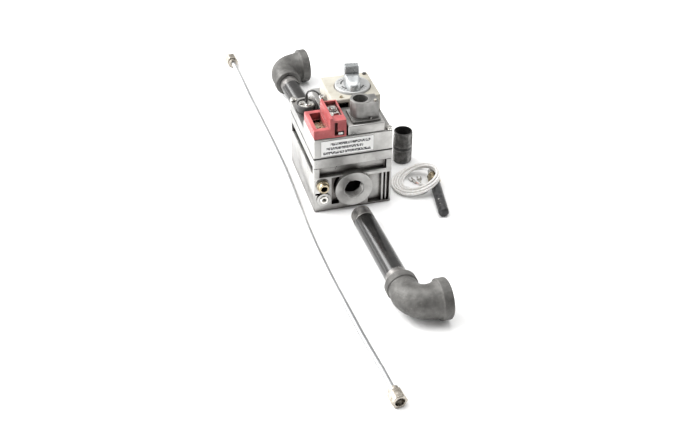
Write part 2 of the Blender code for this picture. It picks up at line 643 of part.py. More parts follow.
def elbow(name, side):
    """Bend in the XY plane: one leg towards side * Y takes the pipe, the other opens towards +X."""
    r = ELBOW_BEND_R
    leg = ELBOW_LEG
    plain = leg - r
    bend = r * pi / 2
    total = 2 * plain + bend

    def along(t):
        if t <= plain:
            return np.array([0, side * (leg - t), 0.0])
        if t >= plain + bend:
            return np.array([leg - (total - t), 0, 0.0])
        a = (t - plain) / r
        return np.array([r - r * cos(a), side * (r - r * sin(a)), 0.0])

    b1 = ELBOW_BAND_R
    b2 = ELBOW_MOUTH_R
    arc = [(plain + bend * k / 5, 18.4 + 1.4 * k / 5) for k in range(1, 5)]
    outer = ([(0, b1 - 1.2), (1.2, b1), (10.5, b1), (12.5, b1 - 1.6), (17, 18.4), (plain, 18.4)] + arc
             + [(plain + bend, 19.8), (total - 16, 20.0), (total - 13.5, b2 - 1.8), (total - 12, b2),
                (total - 1.4, b2), (total, b2 - 1.4)])
    inner = ([(0, PORT_R + 0.6), (1.0, PORT_R), (15, PORT_R), (17, 11.0), (plain, 11.0)]
             + [(plain + bend * k / 5, 11.0 + 1.0 * k / 5) for k in range(1, 5)]
             + [(plain + bend, 12.0), (total - 18, 12.4), (total - 16, 16.2), (total - 1.0, 16.2), (total, 16.9)])
    return piece(name, hollow(along, outer, inner, 20), "malleable_iron")


def pipe_work():
    far = ELBOW_LEG - ENGAGED + NIPPLE_LEN
    height = ELBOW_MOUTH_R + 0.05
    drop = (height - (PIPE_R - 0.45 + 0.1)) / (far - 1.2)
    for name, (x, y), side, yaw in (("front", FRONT_ELBOW, 1, 0.85), ("rear", REAR_ELBOW, -1, 5.0)):
        tilt = -side * drop
        turn = (tilt, 0.0, radians(yaw))
        placed(elbow(name + "_elbow", side), (x, y, height), turn)
        pipe = nipple(name + "_nipple", NIPPLE_LEN)
        near = ELBOW_LEG - ENGAGED
        along = (-sin(radians(yaw)) * side * cos(drop), cos(radians(yaw)) * side * cos(drop), -sin(drop))
        start = (x + along[0] * near, y + along[1] * near, height + along[2] * near)
        placed(pipe, start, (radians(-90 * side) + tilt, 0.0, radians(yaw)))


def close_nipple():
    r = PIPE_R
    n = CLOSE_LEN
    outer = [(0, r - 1.1), (1.2, r - 0.5), (19.5, r), (n - 19.5, r), (n - 1.2, r - 0.5), (n, r - 1.1)]
    inner = [(0, PIPE_BORE_R + 0.5), (1.0, PIPE_BORE_R), (n - 1.0, PIPE_BORE_R), (n, PIPE_BORE_R + 0.5)]
    placed(piece("close_nipple", hollow(straight((0, 0, 1)), outer, inner, 24), "black_pipe"), (*CLOSE_AT, 0.02))


# ---- pilot tube ------------------------------------------------------------------------------------------

TUBE_ROUTE = [(-78.4, 352.0), (-77.0, 321.5), (-72.8, 243.8), (-69.2, 160.0), (-66.8, 100.0), (-65.6, 50.0),
              (-65.8, 0.0), (-67.2, -50.0), (-67.8, -100.0), (-66.8, -150.0), (-64.6, -203.0), (-61.4, -250.0),
              (-58.0, -300.0), (-55.2, -350.0), (-50.8, -406.0)]
END_Z = NUT_FLATS / 2 + 0.06
STRAIGHT_END = 46.0


def tube_path():
    """The tube lies on the bench and lifts at both ends, where its nuts hold it up."""
    flat = smooth_route([(x, y, 0) for x, y in TUBE_ROUTE], 90)
    run = np.concatenate([[0], np.cumsum(np.linalg.norm(np.diff(flat, axis=0), axis=1))])
    total = run[-1]
    aim_a = flat[6] - flat[0]
    aim_a /= np.linalg.norm(aim_a)
    aim_b = flat[-7] - flat[-1]
    aim_b /= np.linalg.norm(aim_b)

    def at(t):
        if t < STRAIGHT_END:
            p = flat[0] + aim_a * t
        elif t > total - STRAIGHT_END:
            p = flat[-1] + aim_b * (total - t)
        else:
            p = np.array([np.interp(t, run, flat[:, k]) for k in range(3)])
        near = min(t, total - t) - STRAIGHT_END
        s = min(max(near / 70.0, 0.0), 1.0)
        s = s * s * (3 - 2 * s)
        return np.array([p[0], p[1], END_Z + (TUBE_R + 0.1 - END_Z) * s])

    return at, total, aim_a, aim_b


def pilot_tube():
    at, total, aim_a, aim_b = tube_path()
    middle = list(np.linspace(STRAIGHT_END, total - STRAIGHT_END, 26))
    flare = [(0, 4.7), (0.6, 4.7), (2.6, TUBE_R), (20, TUBE_R)]
    outer = flare + [(t, TUBE_R) for t in middle] + [(total - t, r) for t, r in reversed(flare)]
    inner_end = [(0, 4.0), (2.0, TUBE_BORE_R), (20, TUBE_BORE_R)]
    inner = inner_end + [(t, TUBE_BORE_R) for t in middle] + [(total - t, r) for t, r in reversed(inner_end)]
    piece("pilot_tube", hollow(at, outer, inner, 8), "aluminium")
    for name, end, aim in (("tube_nut_rear", at(0.0), aim_a), ("tube_nut_front", at(total), aim_b)):
        nut = piece(name, hexagon(NUT_FLATS, 5.0 - 12.5, 5.0 + 1.5), "brass")
        rounded(nut, 0.5, 1)
        fuse(nut, rod(6.6, 5.0, 5.0 + NUT_LEN - 12.5, 24))
        cut(nut, turned([(0, -9), (5.6, -9), (5.6, 1.2), (3.55, 3.6), (3.55, 14), (0, 14)], 24))
        nut.matrix_world = frame_at(end, aim)


def frame_at(origin, aim):
    """A frame whose Z runs along aim, with X kept level so that a flat faces down."""
    z = Vector(aim).normalized()
    x = Vector((0, 0, 1)).cross(z).normalized()
    y = z.cross(x)
    made = Matrix((x, y, z)).transposed().to_4x4()
    made.translation = Vector([c * MM for c in origin])
    return made


# ---- thermopile ------------------------------------------------------------------------------------------

def thermopile():
    aim = np.array([*PROBE_AIM, 0.0])
    aim /= np.linalg.norm(aim)
    lift = PROBE_NUT / 2 + 0.1
    start = np.array([*PROBE_AT, lift])
    tip = start + aim * PROBE_LEN
    tip[2] = PROBE_R + 0.04
    axis = tip - start
    axis /= np.linalg.norm(axis)
    sheath = piece("thermopile_sheath",
                   turned([(0, -11.0), (5.3, -11.0), (5.3, 0.0), (PROBE_R - 0.4, 0.0), (PROBE_R, 0.5),
                           (PROBE_R, PROBE_LEN - 2.4), (PROBE_R - 0.9, PROBE_LEN - 0.7), (PROBE_R - 2.4, PROBE_LEN),
                           (0, PROBE_LEN)], 24), "sheath_black")
    cut(sheath, turned([(PROBE_R - 0.35, PROBE_LEN - 11.2), (8, PROBE_LEN - 11.2), (8, PROBE_LEN - 10.2),
                        (PROBE_R - 0.35, PROBE_LEN - 10.2)], 24))
    sheath.matrix_world = frame_at(start, axis)
    nut = piece("thermopile_nut", hexagon(PROBE_NUT, -14.0, -0.6), "brass")
    rounded(nut, 0.5, 1)
    cut(nut, rod(5.65, -15, 1, 24))
    nut.matrix_world = frame_at(start, axis)
    bush = piece("thermopile_bush", turned([(2.2, -26.0), (4.6, -26.0), (5.4, -25.0), (5.4, -17.0), (6.6, -16.6),
                                            (6.6, -14.4), (2.2, -14.4)], 24), "steel")
    bush.matrix_world = frame_at(start, axis)
    return start, axis


def blend(x, low, high):
    t = min(max((x - low) / (high - low), 0.0), 1.0)
    return t * t * (3 - 2 * t)


def coil_section(degrees):
    """(radius of the ring, height of its middle, half its width, half its height) at an angle from +X."""
    a = (degrees + 180) % 360 - 180
    thin = blend(a, -84, -56) * (1 - blend(a, 34, 68))
    over = 0.5 + 0.5 * cos(radians(a + 10))
    half_width = 4.7 - 2.7 * thin
    half_height = 3.3 - 1.3 * thin
    return COIL_R, half_height + 0.05 + (COIL_LIFT - 2.05) * over, half_width, half_height


def lead(start, axis):
    count, segments = 44, 6
    points, faces = [], []
    for i in range(count):
        angle = 360.0 * i / count
        radius, height, half_width, half_height = coil_section(angle)
        c, s = cos(radians(angle)), sin(radians(angle))
        for k in range(segments):
            b = 2 * pi * k / segments
            r = radius + half_width * cos(b)
            points.append((COIL_AT[0] + r * c, COIL_AT[1] + r * s, height + half_height * sin(b)))
    for i in range(count):
        j = (i + 1) % count
        for k in range(segments):
            m = (k + 1) % segments
            faces.append((i * segments + k, i * segments + m, j * segments + m, j * segments + k))
    piece("lead_coil", (points, faces), "white_sleeve")
    exit_at = start - axis * 24.0
    out = start - axis * 33.0
    wire("lead_start", [exit_at, out, (122.0, -7.5, 5.0), (116.5, -3.4, 2.4), (109.5, -3.4, 1.9)], 10)
    tail = [(99.0, -56.8, 2.4), (102.6, -52.6, 2.0), (104.2, -46.0, 1.9), (101.6, -40.4, 1.9), (98.6, -37.6, 1.9)]
    wire("lead_tail", tail, 10)
    for name, dx, turn in (("spade_left", -3.0, 16.0), ("spade_right", 3.0, -12.0)):
        spade(name, (98.2 + dx, -34.9), turn)


def wire(name, route, count):
    """A free stretch of the lead as a beveled curve with closed ends."""
    data = bpy.data.curves.new(name, "CURVE")
    data.dimensions = "3D"
    data.bevel_depth = LEAD_R * MM
    data.bevel_resolution = 2
    data.use_fill_caps = True
    path = smooth_route(route, count)
    line = data.splines.new("POLY")
    line.points.add(len(path) - 1)
    for point, at in zip(line.points, path):
        point.co = (*(c * MM for c in at), 1.0)
    data.materials.append(material("white_sleeve"))
    made = bpy.data.objects.new(name, data)
    bpy.context.scene.collection.objects.link(made)


def spade(name, at, turn):
    """Fork terminal: a barrel and two prongs."""
    barrel = box((-1.5, 1.5), (0, 7.0), (0.3, 3.1))
    made = piece(name, spun(barrel, turn, at[0], at[1]), "steel", smooth=False)
    fuse(made, spun(box((-3.2, 3.2), (6.4, 14.0), (0.6, 1.5)), turn, at[0], at[1]))
    cut(made, spun(box((-1.6, 1.6), (8.6, 15.0), (0, 2)), turn, at[0], at[1]))


def carried(name, at, nodes):
    """An empty on a joint's axis that carries the pieces which move about it."""
    empty = bpy.data.objects.new(name, None)
    empty.empty_display_size = 0.02
    empty.location = tuple(c * MM for c in at)
    bpy.context.scene.collection.objects.link(empty)
    bpy.context.view_layer.update()
    for node in nodes:
        target = bpy.data.objects[node]
        target.parent = empty
        target.matrix_parent_inverse = empty.matrix_world.inverted()


valve_body()
flange_plate()
cover()
long_screw("cover_screw_front_right", POST_X, -POST_Y, COVER_TOP + GAP)
long_screw("cover_screw_rear_right", POST_X, POST_Y, COVER_TOP + GAP)
long_screw("cover_screw_rear_left", -POST_X, POST_Y, STEP_TOP + GAP)
regulator()
regulator_inside()
knob_group()
safety_valve()
housing()
inlet_screen()
terminals()
cap_and_jumper()
label()
outlet_side_fittings()
pipe_work()
close_nipple()
pilot_tube()
lead(*thermopile())
carried("knob_axis", (KNOB_X, KNOB_Y, KNOB_TOP), ("knob", "knob_stem", "gas_cock"))
carried("safety_axis", (KNOB_X, KNOB_Y, SAFETY_SEAT_Z), ("safety_disc", "armature"))
carried("main_valve_axis", (REG_X, REG_Y, SEAT_Z), ("main_valve", "main_valve_facing", "diaphragm_plate"))
carried("regulator_axis", (REG_X, REG_Y, TOWER_TOP), ("spring_seat", "regulator_screw"))
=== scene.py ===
# %% [markdown]
# # Gas control kit on a studio table
# A small combination gas valve stands on a pale table with the loose parts it is sold with: two lengths of
# black pipe, each screwed into an elbow, a close nipple, a pilot tube with its nuts, and a thermopile whose
# white lead is coiled up. The solid model is loaded first, and this lesson dresses it: it lights it, gives
# every piece its finish, and swaps the plain round solids for finer surfaces.

import json

import bmesh
import bpy
import numpy as np
from math import cos, pi, radians, sin
from mathutils import Matrix, Vector

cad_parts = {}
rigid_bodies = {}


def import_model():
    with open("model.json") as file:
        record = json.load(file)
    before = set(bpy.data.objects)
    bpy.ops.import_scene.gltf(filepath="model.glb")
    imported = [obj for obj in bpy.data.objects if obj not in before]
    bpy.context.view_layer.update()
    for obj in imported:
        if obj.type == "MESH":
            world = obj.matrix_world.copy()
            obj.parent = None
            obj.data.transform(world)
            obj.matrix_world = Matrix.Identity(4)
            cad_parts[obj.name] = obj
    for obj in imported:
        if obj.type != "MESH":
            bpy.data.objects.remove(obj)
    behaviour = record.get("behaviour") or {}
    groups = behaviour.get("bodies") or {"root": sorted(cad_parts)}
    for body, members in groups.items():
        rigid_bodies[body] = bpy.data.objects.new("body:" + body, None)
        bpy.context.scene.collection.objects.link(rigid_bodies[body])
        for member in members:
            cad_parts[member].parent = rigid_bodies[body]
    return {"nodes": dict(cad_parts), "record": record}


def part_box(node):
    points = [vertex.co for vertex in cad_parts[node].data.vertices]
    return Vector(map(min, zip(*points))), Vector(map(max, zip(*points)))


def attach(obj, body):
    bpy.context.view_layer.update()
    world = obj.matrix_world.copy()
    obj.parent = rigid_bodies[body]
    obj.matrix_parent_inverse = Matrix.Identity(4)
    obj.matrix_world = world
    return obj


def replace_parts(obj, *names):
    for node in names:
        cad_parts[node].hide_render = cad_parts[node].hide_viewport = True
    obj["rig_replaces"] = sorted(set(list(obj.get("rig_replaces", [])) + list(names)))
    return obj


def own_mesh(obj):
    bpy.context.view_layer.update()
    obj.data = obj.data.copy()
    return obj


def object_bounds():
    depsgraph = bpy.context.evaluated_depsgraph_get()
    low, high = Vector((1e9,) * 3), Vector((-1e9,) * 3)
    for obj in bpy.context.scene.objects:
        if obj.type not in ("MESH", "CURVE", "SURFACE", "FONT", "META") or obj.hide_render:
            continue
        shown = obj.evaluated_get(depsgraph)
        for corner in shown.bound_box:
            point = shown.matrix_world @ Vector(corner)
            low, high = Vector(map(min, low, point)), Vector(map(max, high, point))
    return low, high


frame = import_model()
solid_box = [[float(c) for c in corner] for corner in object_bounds()]
MM = 0.001

# %% [markdown]
# ## Camera
# The camera could be keyed in by hand, but a point on the table, two angles and a distance are easier to
# reason about. The three directions of the camera are worked out from them.

# %% Camera
AIM_AT = Vector((-17.2, -94.75, 0.0)) * MM
AZIMUTH, ELEVATION, ROLL = radians(16.085), radians(36.737), radians(0.607)
DISTANCE, LENS = 1.341, 55.24
ahead = Vector((sin(AZIMUTH) * cos(ELEVATION), cos(AZIMUTH) * cos(ELEVATION), -sin(ELEVATION)))
level = Vector((cos(AZIMUTH), -sin(AZIMUTH), 0.0))
upright = level.cross(ahead)
right = level * cos(ROLL) + upright * sin(ROLL)
camera = bpy.data.objects.new("camera", bpy.data.cameras.new("camera"))
bpy.context.scene.collection.objects.link(camera)
camera.matrix_world = Matrix((right, right.cross(ahead), -ahead)).transposed().to_4x4()
camera.location = AIM_AT - ahead * DISTANCE
camera.data.lens = LENS
camera.data.clip_start = 0.01
bpy.context.scene.camera = camera
print("camera at", [round(c, 3) for c in camera.location])

# %% [markdown]
# ## Helpers for nodes
# Every finish, and the sky too, is a small circuit of nodes. Each node could be made, set and joined line by
# line, but the same lines would come back dozens of times. So a few helpers make a node, feed it, and hand back
# the socket that carries on. What is fed in may be another socket, a number, or a colour of three numbers.

# %% Node helpers
def node_of(tree, kind, **settings):
    """A node of this kind: its own settings first, then the inputs that are given by name."""
    made = tree.nodes.new(kind)
    for key, value in settings.items():
        if hasattr(made, key):
            setattr(made, key, value)
        else:
            made.inputs[key].default_value = value
    return made


def feed(tree, socket, value):
    """Joins a socket to another one, or sets it to a number or to a colour of three numbers."""
    if isinstance(value, bpy.types.NodeSocket):
        tree.links.new(value, socket)
    elif isinstance(value, tuple):
        socket.default_value = (*value, 1.0)
    else:
        socket.default_value = value


def ranged(tree, source, from_min=0.0, from_max=1.0, to_min=0.0, to_max=1.0, curve="LINEAR"):
    """A value stretched from one range to another."""
    step = node_of(tree, "ShaderNodeMapRange", interpolation_type=curve)
    for key, value in zip(("From Min", "From Max", "To Min", "To Max"), (from_min, from_max, to_min, to_max)):
        step.inputs[key].default_value = value
    feed(tree, step.inputs["Value"], source)
    return step.outputs[0]


def mixed(tree, amount, first, second, blend="MIX"):
    """Two colours mixed: the amount is the share of the second. 0, 6 and 7 are a Mix node's colour sockets."""
    step = node_of(tree, "ShaderNodeMix", data_type="RGBA", blend_type=blend)
    for socket, value in zip((step.inputs[0], step.inputs[6], step.inputs[7]), (amount, first, second)):
        feed(tree, socket, value)
    return step.outputs[2]


def maths(tree, operation, *values):
    """One step of arithmetic on the values, in their order."""
    step = node_of(tree, "ShaderNodeMath", operation=operation)
    for socket, value in zip(step.inputs, values):
        feed(tree, socket, value)
    return step.outputs[0]


def noise(tree, where, scale, detail, rough=0.5):
    """A cloudy pattern between 0 and 1: scale is how many clouds fit in a metre, detail how crisp they are."""
    made = node_of(tree, "ShaderNodeTexNoise", Scale=scale, Detail=detail, Roughness=rough)
    feed(tree, made.inputs["Vector"], where)
    return made.outputs["Fac"]


def relief_of(tree, heights, strength, depth, under=None):
    """Bumps from a height, with a depth in mm, laid over other bumps where some are given."""
    bump = node_of(tree, "ShaderNodeBump", Strength=strength, Distance=depth * MM)
    feed(tree, bump.inputs["Height"], heights)
    if under:
        feed(tree, bump.inputs["Normal"], under)
    return bump.outputs[0]


def blank_finish(name, **settings):
    """A new material, its tree, its shader with the settings on its own sockets, and its Object coordinates."""
    made = bpy.data.materials.new(name)
    made.use_nodes = True
    tree = made.node_tree
    shader = tree.nodes["Principled BSDF"]
    for key, value in settings.items():
        shader.inputs[key.replace("_", " ")].default_value = value
    return made, tree, shader, node_of(tree, "ShaderNodeTexCoord").outputs["Object"]


def feed_shader(tree, shader, **fed):
    """Feeds the shader's sockets, which are named here with _ for a space."""
    for key, value in fed.items():
        feed(tree, shader.inputs[key.replace("_", " ")], value)


print("node helpers ready")

# %% [markdown]
# ## Table
# Kits like this are shown on a white sweep. A curved backdrop could be built, but from this height only the
# table is seen, so one large plane is enough.

# %% Table
HALF_TABLE = 4.0
table_mesh = bpy.data.meshes.new("table")
corners = [(x * HALF_TABLE, y * HALF_TABLE, 0.0) for x, y in ((-1, -1), (1, -1), (1, 1), (-1, 1))]
table_mesh.from_pydata(corners, [], [(0, 1, 2, 3)])
table = bpy.data.objects.new("table", table_mesh)
bpy.context.scene.collection.objects.link(table)
table.location.z = min(solid_box[0][2], 0.0) - 0.0001
table_mesh.materials.append(blank_finish("table_white", Base_Color=(0.93, 0.93, 0.93, 1.0), Roughness=0.6)[0])
print("table at height", round(table.location.z, 5))

# %% [markdown]
# ## Light
# The sky could be one flat colour, but bright metal then looks like grey paint, since it shows nothing but what
# surrounds it. So the sky here is bright on the left and overhead and dim where the camera stands, which leaves
# the left walls of the casting nearly white and its front wall grey.

# %% Sky and lamps
world = bpy.data.worlds.new("studio")
bpy.context.scene.world = world
world.use_nodes = True
sky = world.node_tree
heading = node_of(sky, "ShaderNodeSeparateXYZ")
feed(sky, heading.inputs[0], node_of(sky, "ShaderNodeTexCoord").outputs["Generated"])
front_dark = ranged(sky, heading.outputs["Y"], -0.85, 0.35, 0.30, 1.25, "SMOOTHSTEP")
left_bright = ranged(sky, heading.outputs["X"], -0.9, 0.6, 1.45, 0.55, "SMOOTHSTEP")
feed(sky, sky.nodes["Background"].inputs["Strength"], maths(sky, "MULTIPLY", front_dark, left_bright))
sky.nodes["Background"].inputs["Color"].default_value = (1.0, 0.995, 0.985, 1.0)


def lamp(name, at, size, power, towards=(0.0, -0.05, 0.05)):
    data = bpy.data.lights.new(name, "AREA")
    data.size = size
    data.energy = power
    made = bpy.data.objects.new(name, data)
    bpy.context.scene.collection.objects.link(made)
    made.location = at
    made.rotation_euler = (Vector(towards) - Vector(at)).to_track_quat("-Z", "Y").to_euler()
    return made


lamp("key_lamp", (-1.5, 0.4, 1.9), 1.5, 36.0)
lamp("top_lamp", (0.2, 0.1, 2.3), 1.6, 25.0)
lamp("table_lamp", (-1.1, 1.2, 1.0), 0.9, 22.0, (-0.45, 0.75, 0.0))
lamp("left_lamp", (-1.3, 0.25, 0.55), 0.9, 7.0)
lamp("right_lamp", (1.7, -0.4, 1.1), 1.0, 8.0)
bpy.context.scene.view_settings.view_transform = "Standard"

# %% [markdown]
# ## Surfaces from arrays
# Round work such as pipe, tube and wire is made here as a grid of points worked out at once with numpy: one
# direction of the grid runs round the piece and the other along it. Blender's screw and array modifiers could
# do part of this, but a formula keeps threads, tapers and bends under one roof.

# %% Grid to mesh
def skin(name, points, finish, body="valve", closed_along=False, sharp=35.0):
    """Points[i, k] in millimetres become a skin: k runs round and joins up, i runs along."""
    n, m = points.shape[:2]
    index = np.arange(n * m).reshape(n, m)
    rows = index if closed_along else index[:-1]
    after = np.roll(index, -1, axis=0) if closed_along else index[1:]
    quads = np.stack([rows, np.roll(rows, -1, 1), np.roll(after, -1, 1), after], axis=-1).reshape(-1, 4)
    mesh = bpy.data.meshes.new(name)
    mesh.from_pydata((points.reshape(-1, 3) * MM).tolist(), [], quads.tolist())
    work = bmesh.new()
    work.from_mesh(mesh)
    bmesh.ops.remove_doubles(work, verts=work.verts, dist=2e-6)
    edges = [e for e in work.edges if e.is_boundary]
    if edges:
        bmesh.ops.holes_fill(work, edges=edges, sides=0)
    bmesh.ops.recalc_face_normals(work, faces=work.faces)
    if work.calc_volume(signed=True) < 0:
        bmesh.ops.reverse_faces(work, faces=work.faces)
    work.to_mesh(mesh)
    work.free()
    mesh.polygons.foreach_set("use_smooth", np.ones(len(mesh.polygons), bool))
    mesh.set_sharp_from_angle(angle=radians(sharp))
    made = bpy.data.objects.new(name, mesh)
    bpy.context.scene.collection.objects.link(made)
    mesh.materials.append(finish)
    if body:
        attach(made, body)
    return made


def around(count):
    """Equal angles for one turn: 2 pi times 0, 1, 2 and so on, over the count."""
    return 2 * pi * np.arange(count) / count


def turned(profile, count=48):
    """Each (radius, height) of the profile becomes a circle about Z: x = r cos a, y = r sin a, z = height."""
    r, h = np.asarray(profile, float).T
    a = around(count)
    return np.stack([np.outer(r, np.cos(a)), np.outer(r, np.sin(a)), np.outer(h, np.ones(count))], axis=-1)


def aimed(points, origin, aim):
    """Moves a shape made along Z so that Z runs along aim from the origin, with X kept level."""
    z = np.asarray(aim, float) / np.linalg.norm(aim)
    x = np.cross((0, 0, 1.0), z)
    x = x / np.linalg.norm(x) if np.linalg.norm(x) > 1e-6 else np.array((1.0, 0, 0))
    y = np.cross(z, x)
    return points[..., :1] * x + points[..., 1:2] * y + points[..., 2:3] * z + np.asarray(origin, float)


def carried_frames(path):
    """Tangent, side and up at each point of a path, the side carried along with no twist."""
    tangent = np.gradient(path, axis=0)
    tangent /= np.linalg.norm(tangent, axis=1)[:, None]
    side = np.cross(tangent[0], (0, 0, 1.0))
    if np.linalg.norm(side) < 0.1:
        side = np.cross(tangent[0], (0, 1.0, 0))
    sides = []
    for t in tangent:
        side = side - t * (side @ t)
        side = side / np.linalg.norm(side)
        sides.append(side)
    sides = np.array(sides)
    return tangent, sides, np.cross(tangent, sides)


def swept(path, radii, count=16):
    """A circle of the given radius is set square to the path at each of its points."""
    tangent, side, up = carried_frames(path)
    a = around(count)
    r = np.broadcast_to(np.asarray(radii, float).reshape(-1, 1), (len(path), 1))[:, :, None]
    return path[:, None] + r * (np.cos(a)[None, :, None] * side[:, None] + np.sin(a)[None, :, None] * up[:, None])


def smooth_route(route, spacing):
    """A curve through the route's points (Catmull-Rom), read off in equal steps of about the spacing."""
    p = np.array(route, float)
    p = np.vstack([2 * p[0] - p[1], p, 2 * p[-1] - p[-2]])
    t = np.linspace(0, 1, 16, endpoint=False)[:, None]
    runs = [0.5 * (2 * p[i] + (p[i + 1] - p[i - 1]) * t
                   + (2 * p[i - 1] - 5 * p[i] + 4 * p[i + 1] - p[i + 2]) * t ** 2
                   + (-p[i - 1] + 3 * p[i] - 3 * p[i + 1] + p[i + 2]) * t ** 3)
            for i in range(1, len(p) - 2)]
    line = np.vstack(runs + [p[-2:-1]])
    run = np.concatenate([[0], np.cumsum(np.linalg.norm(np.diff(line, axis=0), axis=1))])
    at = np.linspace(0, run[-1], int(run[-1] / spacing) + 2)
    return np.stack([np.interp(at, run, line[:, k]) for k in range(3)], axis=1)


def length_of(path):
    """The sum of the distances between each point of a path and the next."""
    return float(np.linalg.norm(np.diff(path, axis=0), axis=1).sum())


print("a full turn in 8 steps:", np.round(around(8), 2).tolist())

# %% [markdown]
# ## Finishes
# No real surface has one flat colour. Each finish starts from the same recipe: a slow noise wanders between
# two tones, a second one changes how glossy the surface is, a fine one gives it grain, and edges can be worn to
# another tone; creases and recesses can also take painted shade. Painted maps could do the same, but noise needs
# no unwrapping and holds at any size.

# %% Recipe for a finish
def finish(name, low, high, rough, metal=0.0, patch=45.0, stretch=(1, 1, 1), grain=1400.0, relief=0.25,
           wear=None, wear_width=0.5, wear_amount=0.8, speck=None, crevice_shade=None, lumps=None):
    """Colour runs from low to high with a slow noise, gloss over the rough pair, relief in tenths of a mm.
    crevice_shade is a reach in mm and a tone painted as shade in creases, recesses and gaps where little light gets
    in; lumps are a scale and a height."""
    made, tree, shader, place = blank_finish(name, Metallic=metal)
    lay = node_of(tree, "ShaderNodeMapping", Scale=stretch)
    feed(tree, lay.inputs["Vector"], place)

    def cloud(scale, detail):
        return noise(tree, lay.outputs[0], scale, detail, 0.6)

    colour = mixed(tree, ranged(tree, cloud(patch, 7), 0.36, 0.64), low, high)
    if speck:
        tone, scale, amount = speck
        colour = mixed(tree, ranged(tree, cloud(scale, 4), 0.60, 0.72, 0.0, amount), colour, tone)
    if wear:
        # at an edge the rounded normal leans away from the true one, so their dot product falls below 1
        lean = node_of(tree, "ShaderNodeVectorMath", operation="DOT_PRODUCT")
        feed(tree, lean.inputs[0], node_of(tree, "ShaderNodeBevel", samples=6, Radius=wear_width * MM).outputs[0])
        feed(tree, lean.inputs[1], node_of(tree, "ShaderNodeNewGeometry").outputs["Normal"])
        edge = ranged(tree, lean.outputs["Value"], 0.99, 0.86, 0.0, wear_amount)
        chips = ranged(tree, cloud(patch * 6, 5), 0.38, 0.56, 0.15, 1.0)
        colour = mixed(tree, maths(tree, "MULTIPLY", edge, chips), colour, wear)
    # painted shade: where ambient occlusion finds little open space, the colour is darkened towards the given tone
    if crevice_shade:
        reach, shade_tone = crevice_shade
        open_air = node_of(tree, "ShaderNodeAmbientOcclusion", samples=8, Distance=reach * MM)
        colour = mixed(tree, ranged(tree, open_air.outputs["AO"], 0.80, 0.35, 0.0, 0.95), colour, shade_tone)
    swell = relief_of(tree, cloud(lumps[0], 2), 0.9, lumps[1]) if lumps else None
    feed_shader(tree, shader, Base_Color=colour, Roughness=ranged(tree, cloud(patch * 2.6, 6), 0.32, 0.68, *rough),
          Normal=relief_of(tree, cloud(grain, 4), 0.8, relief * 0.1, swell))
    return made


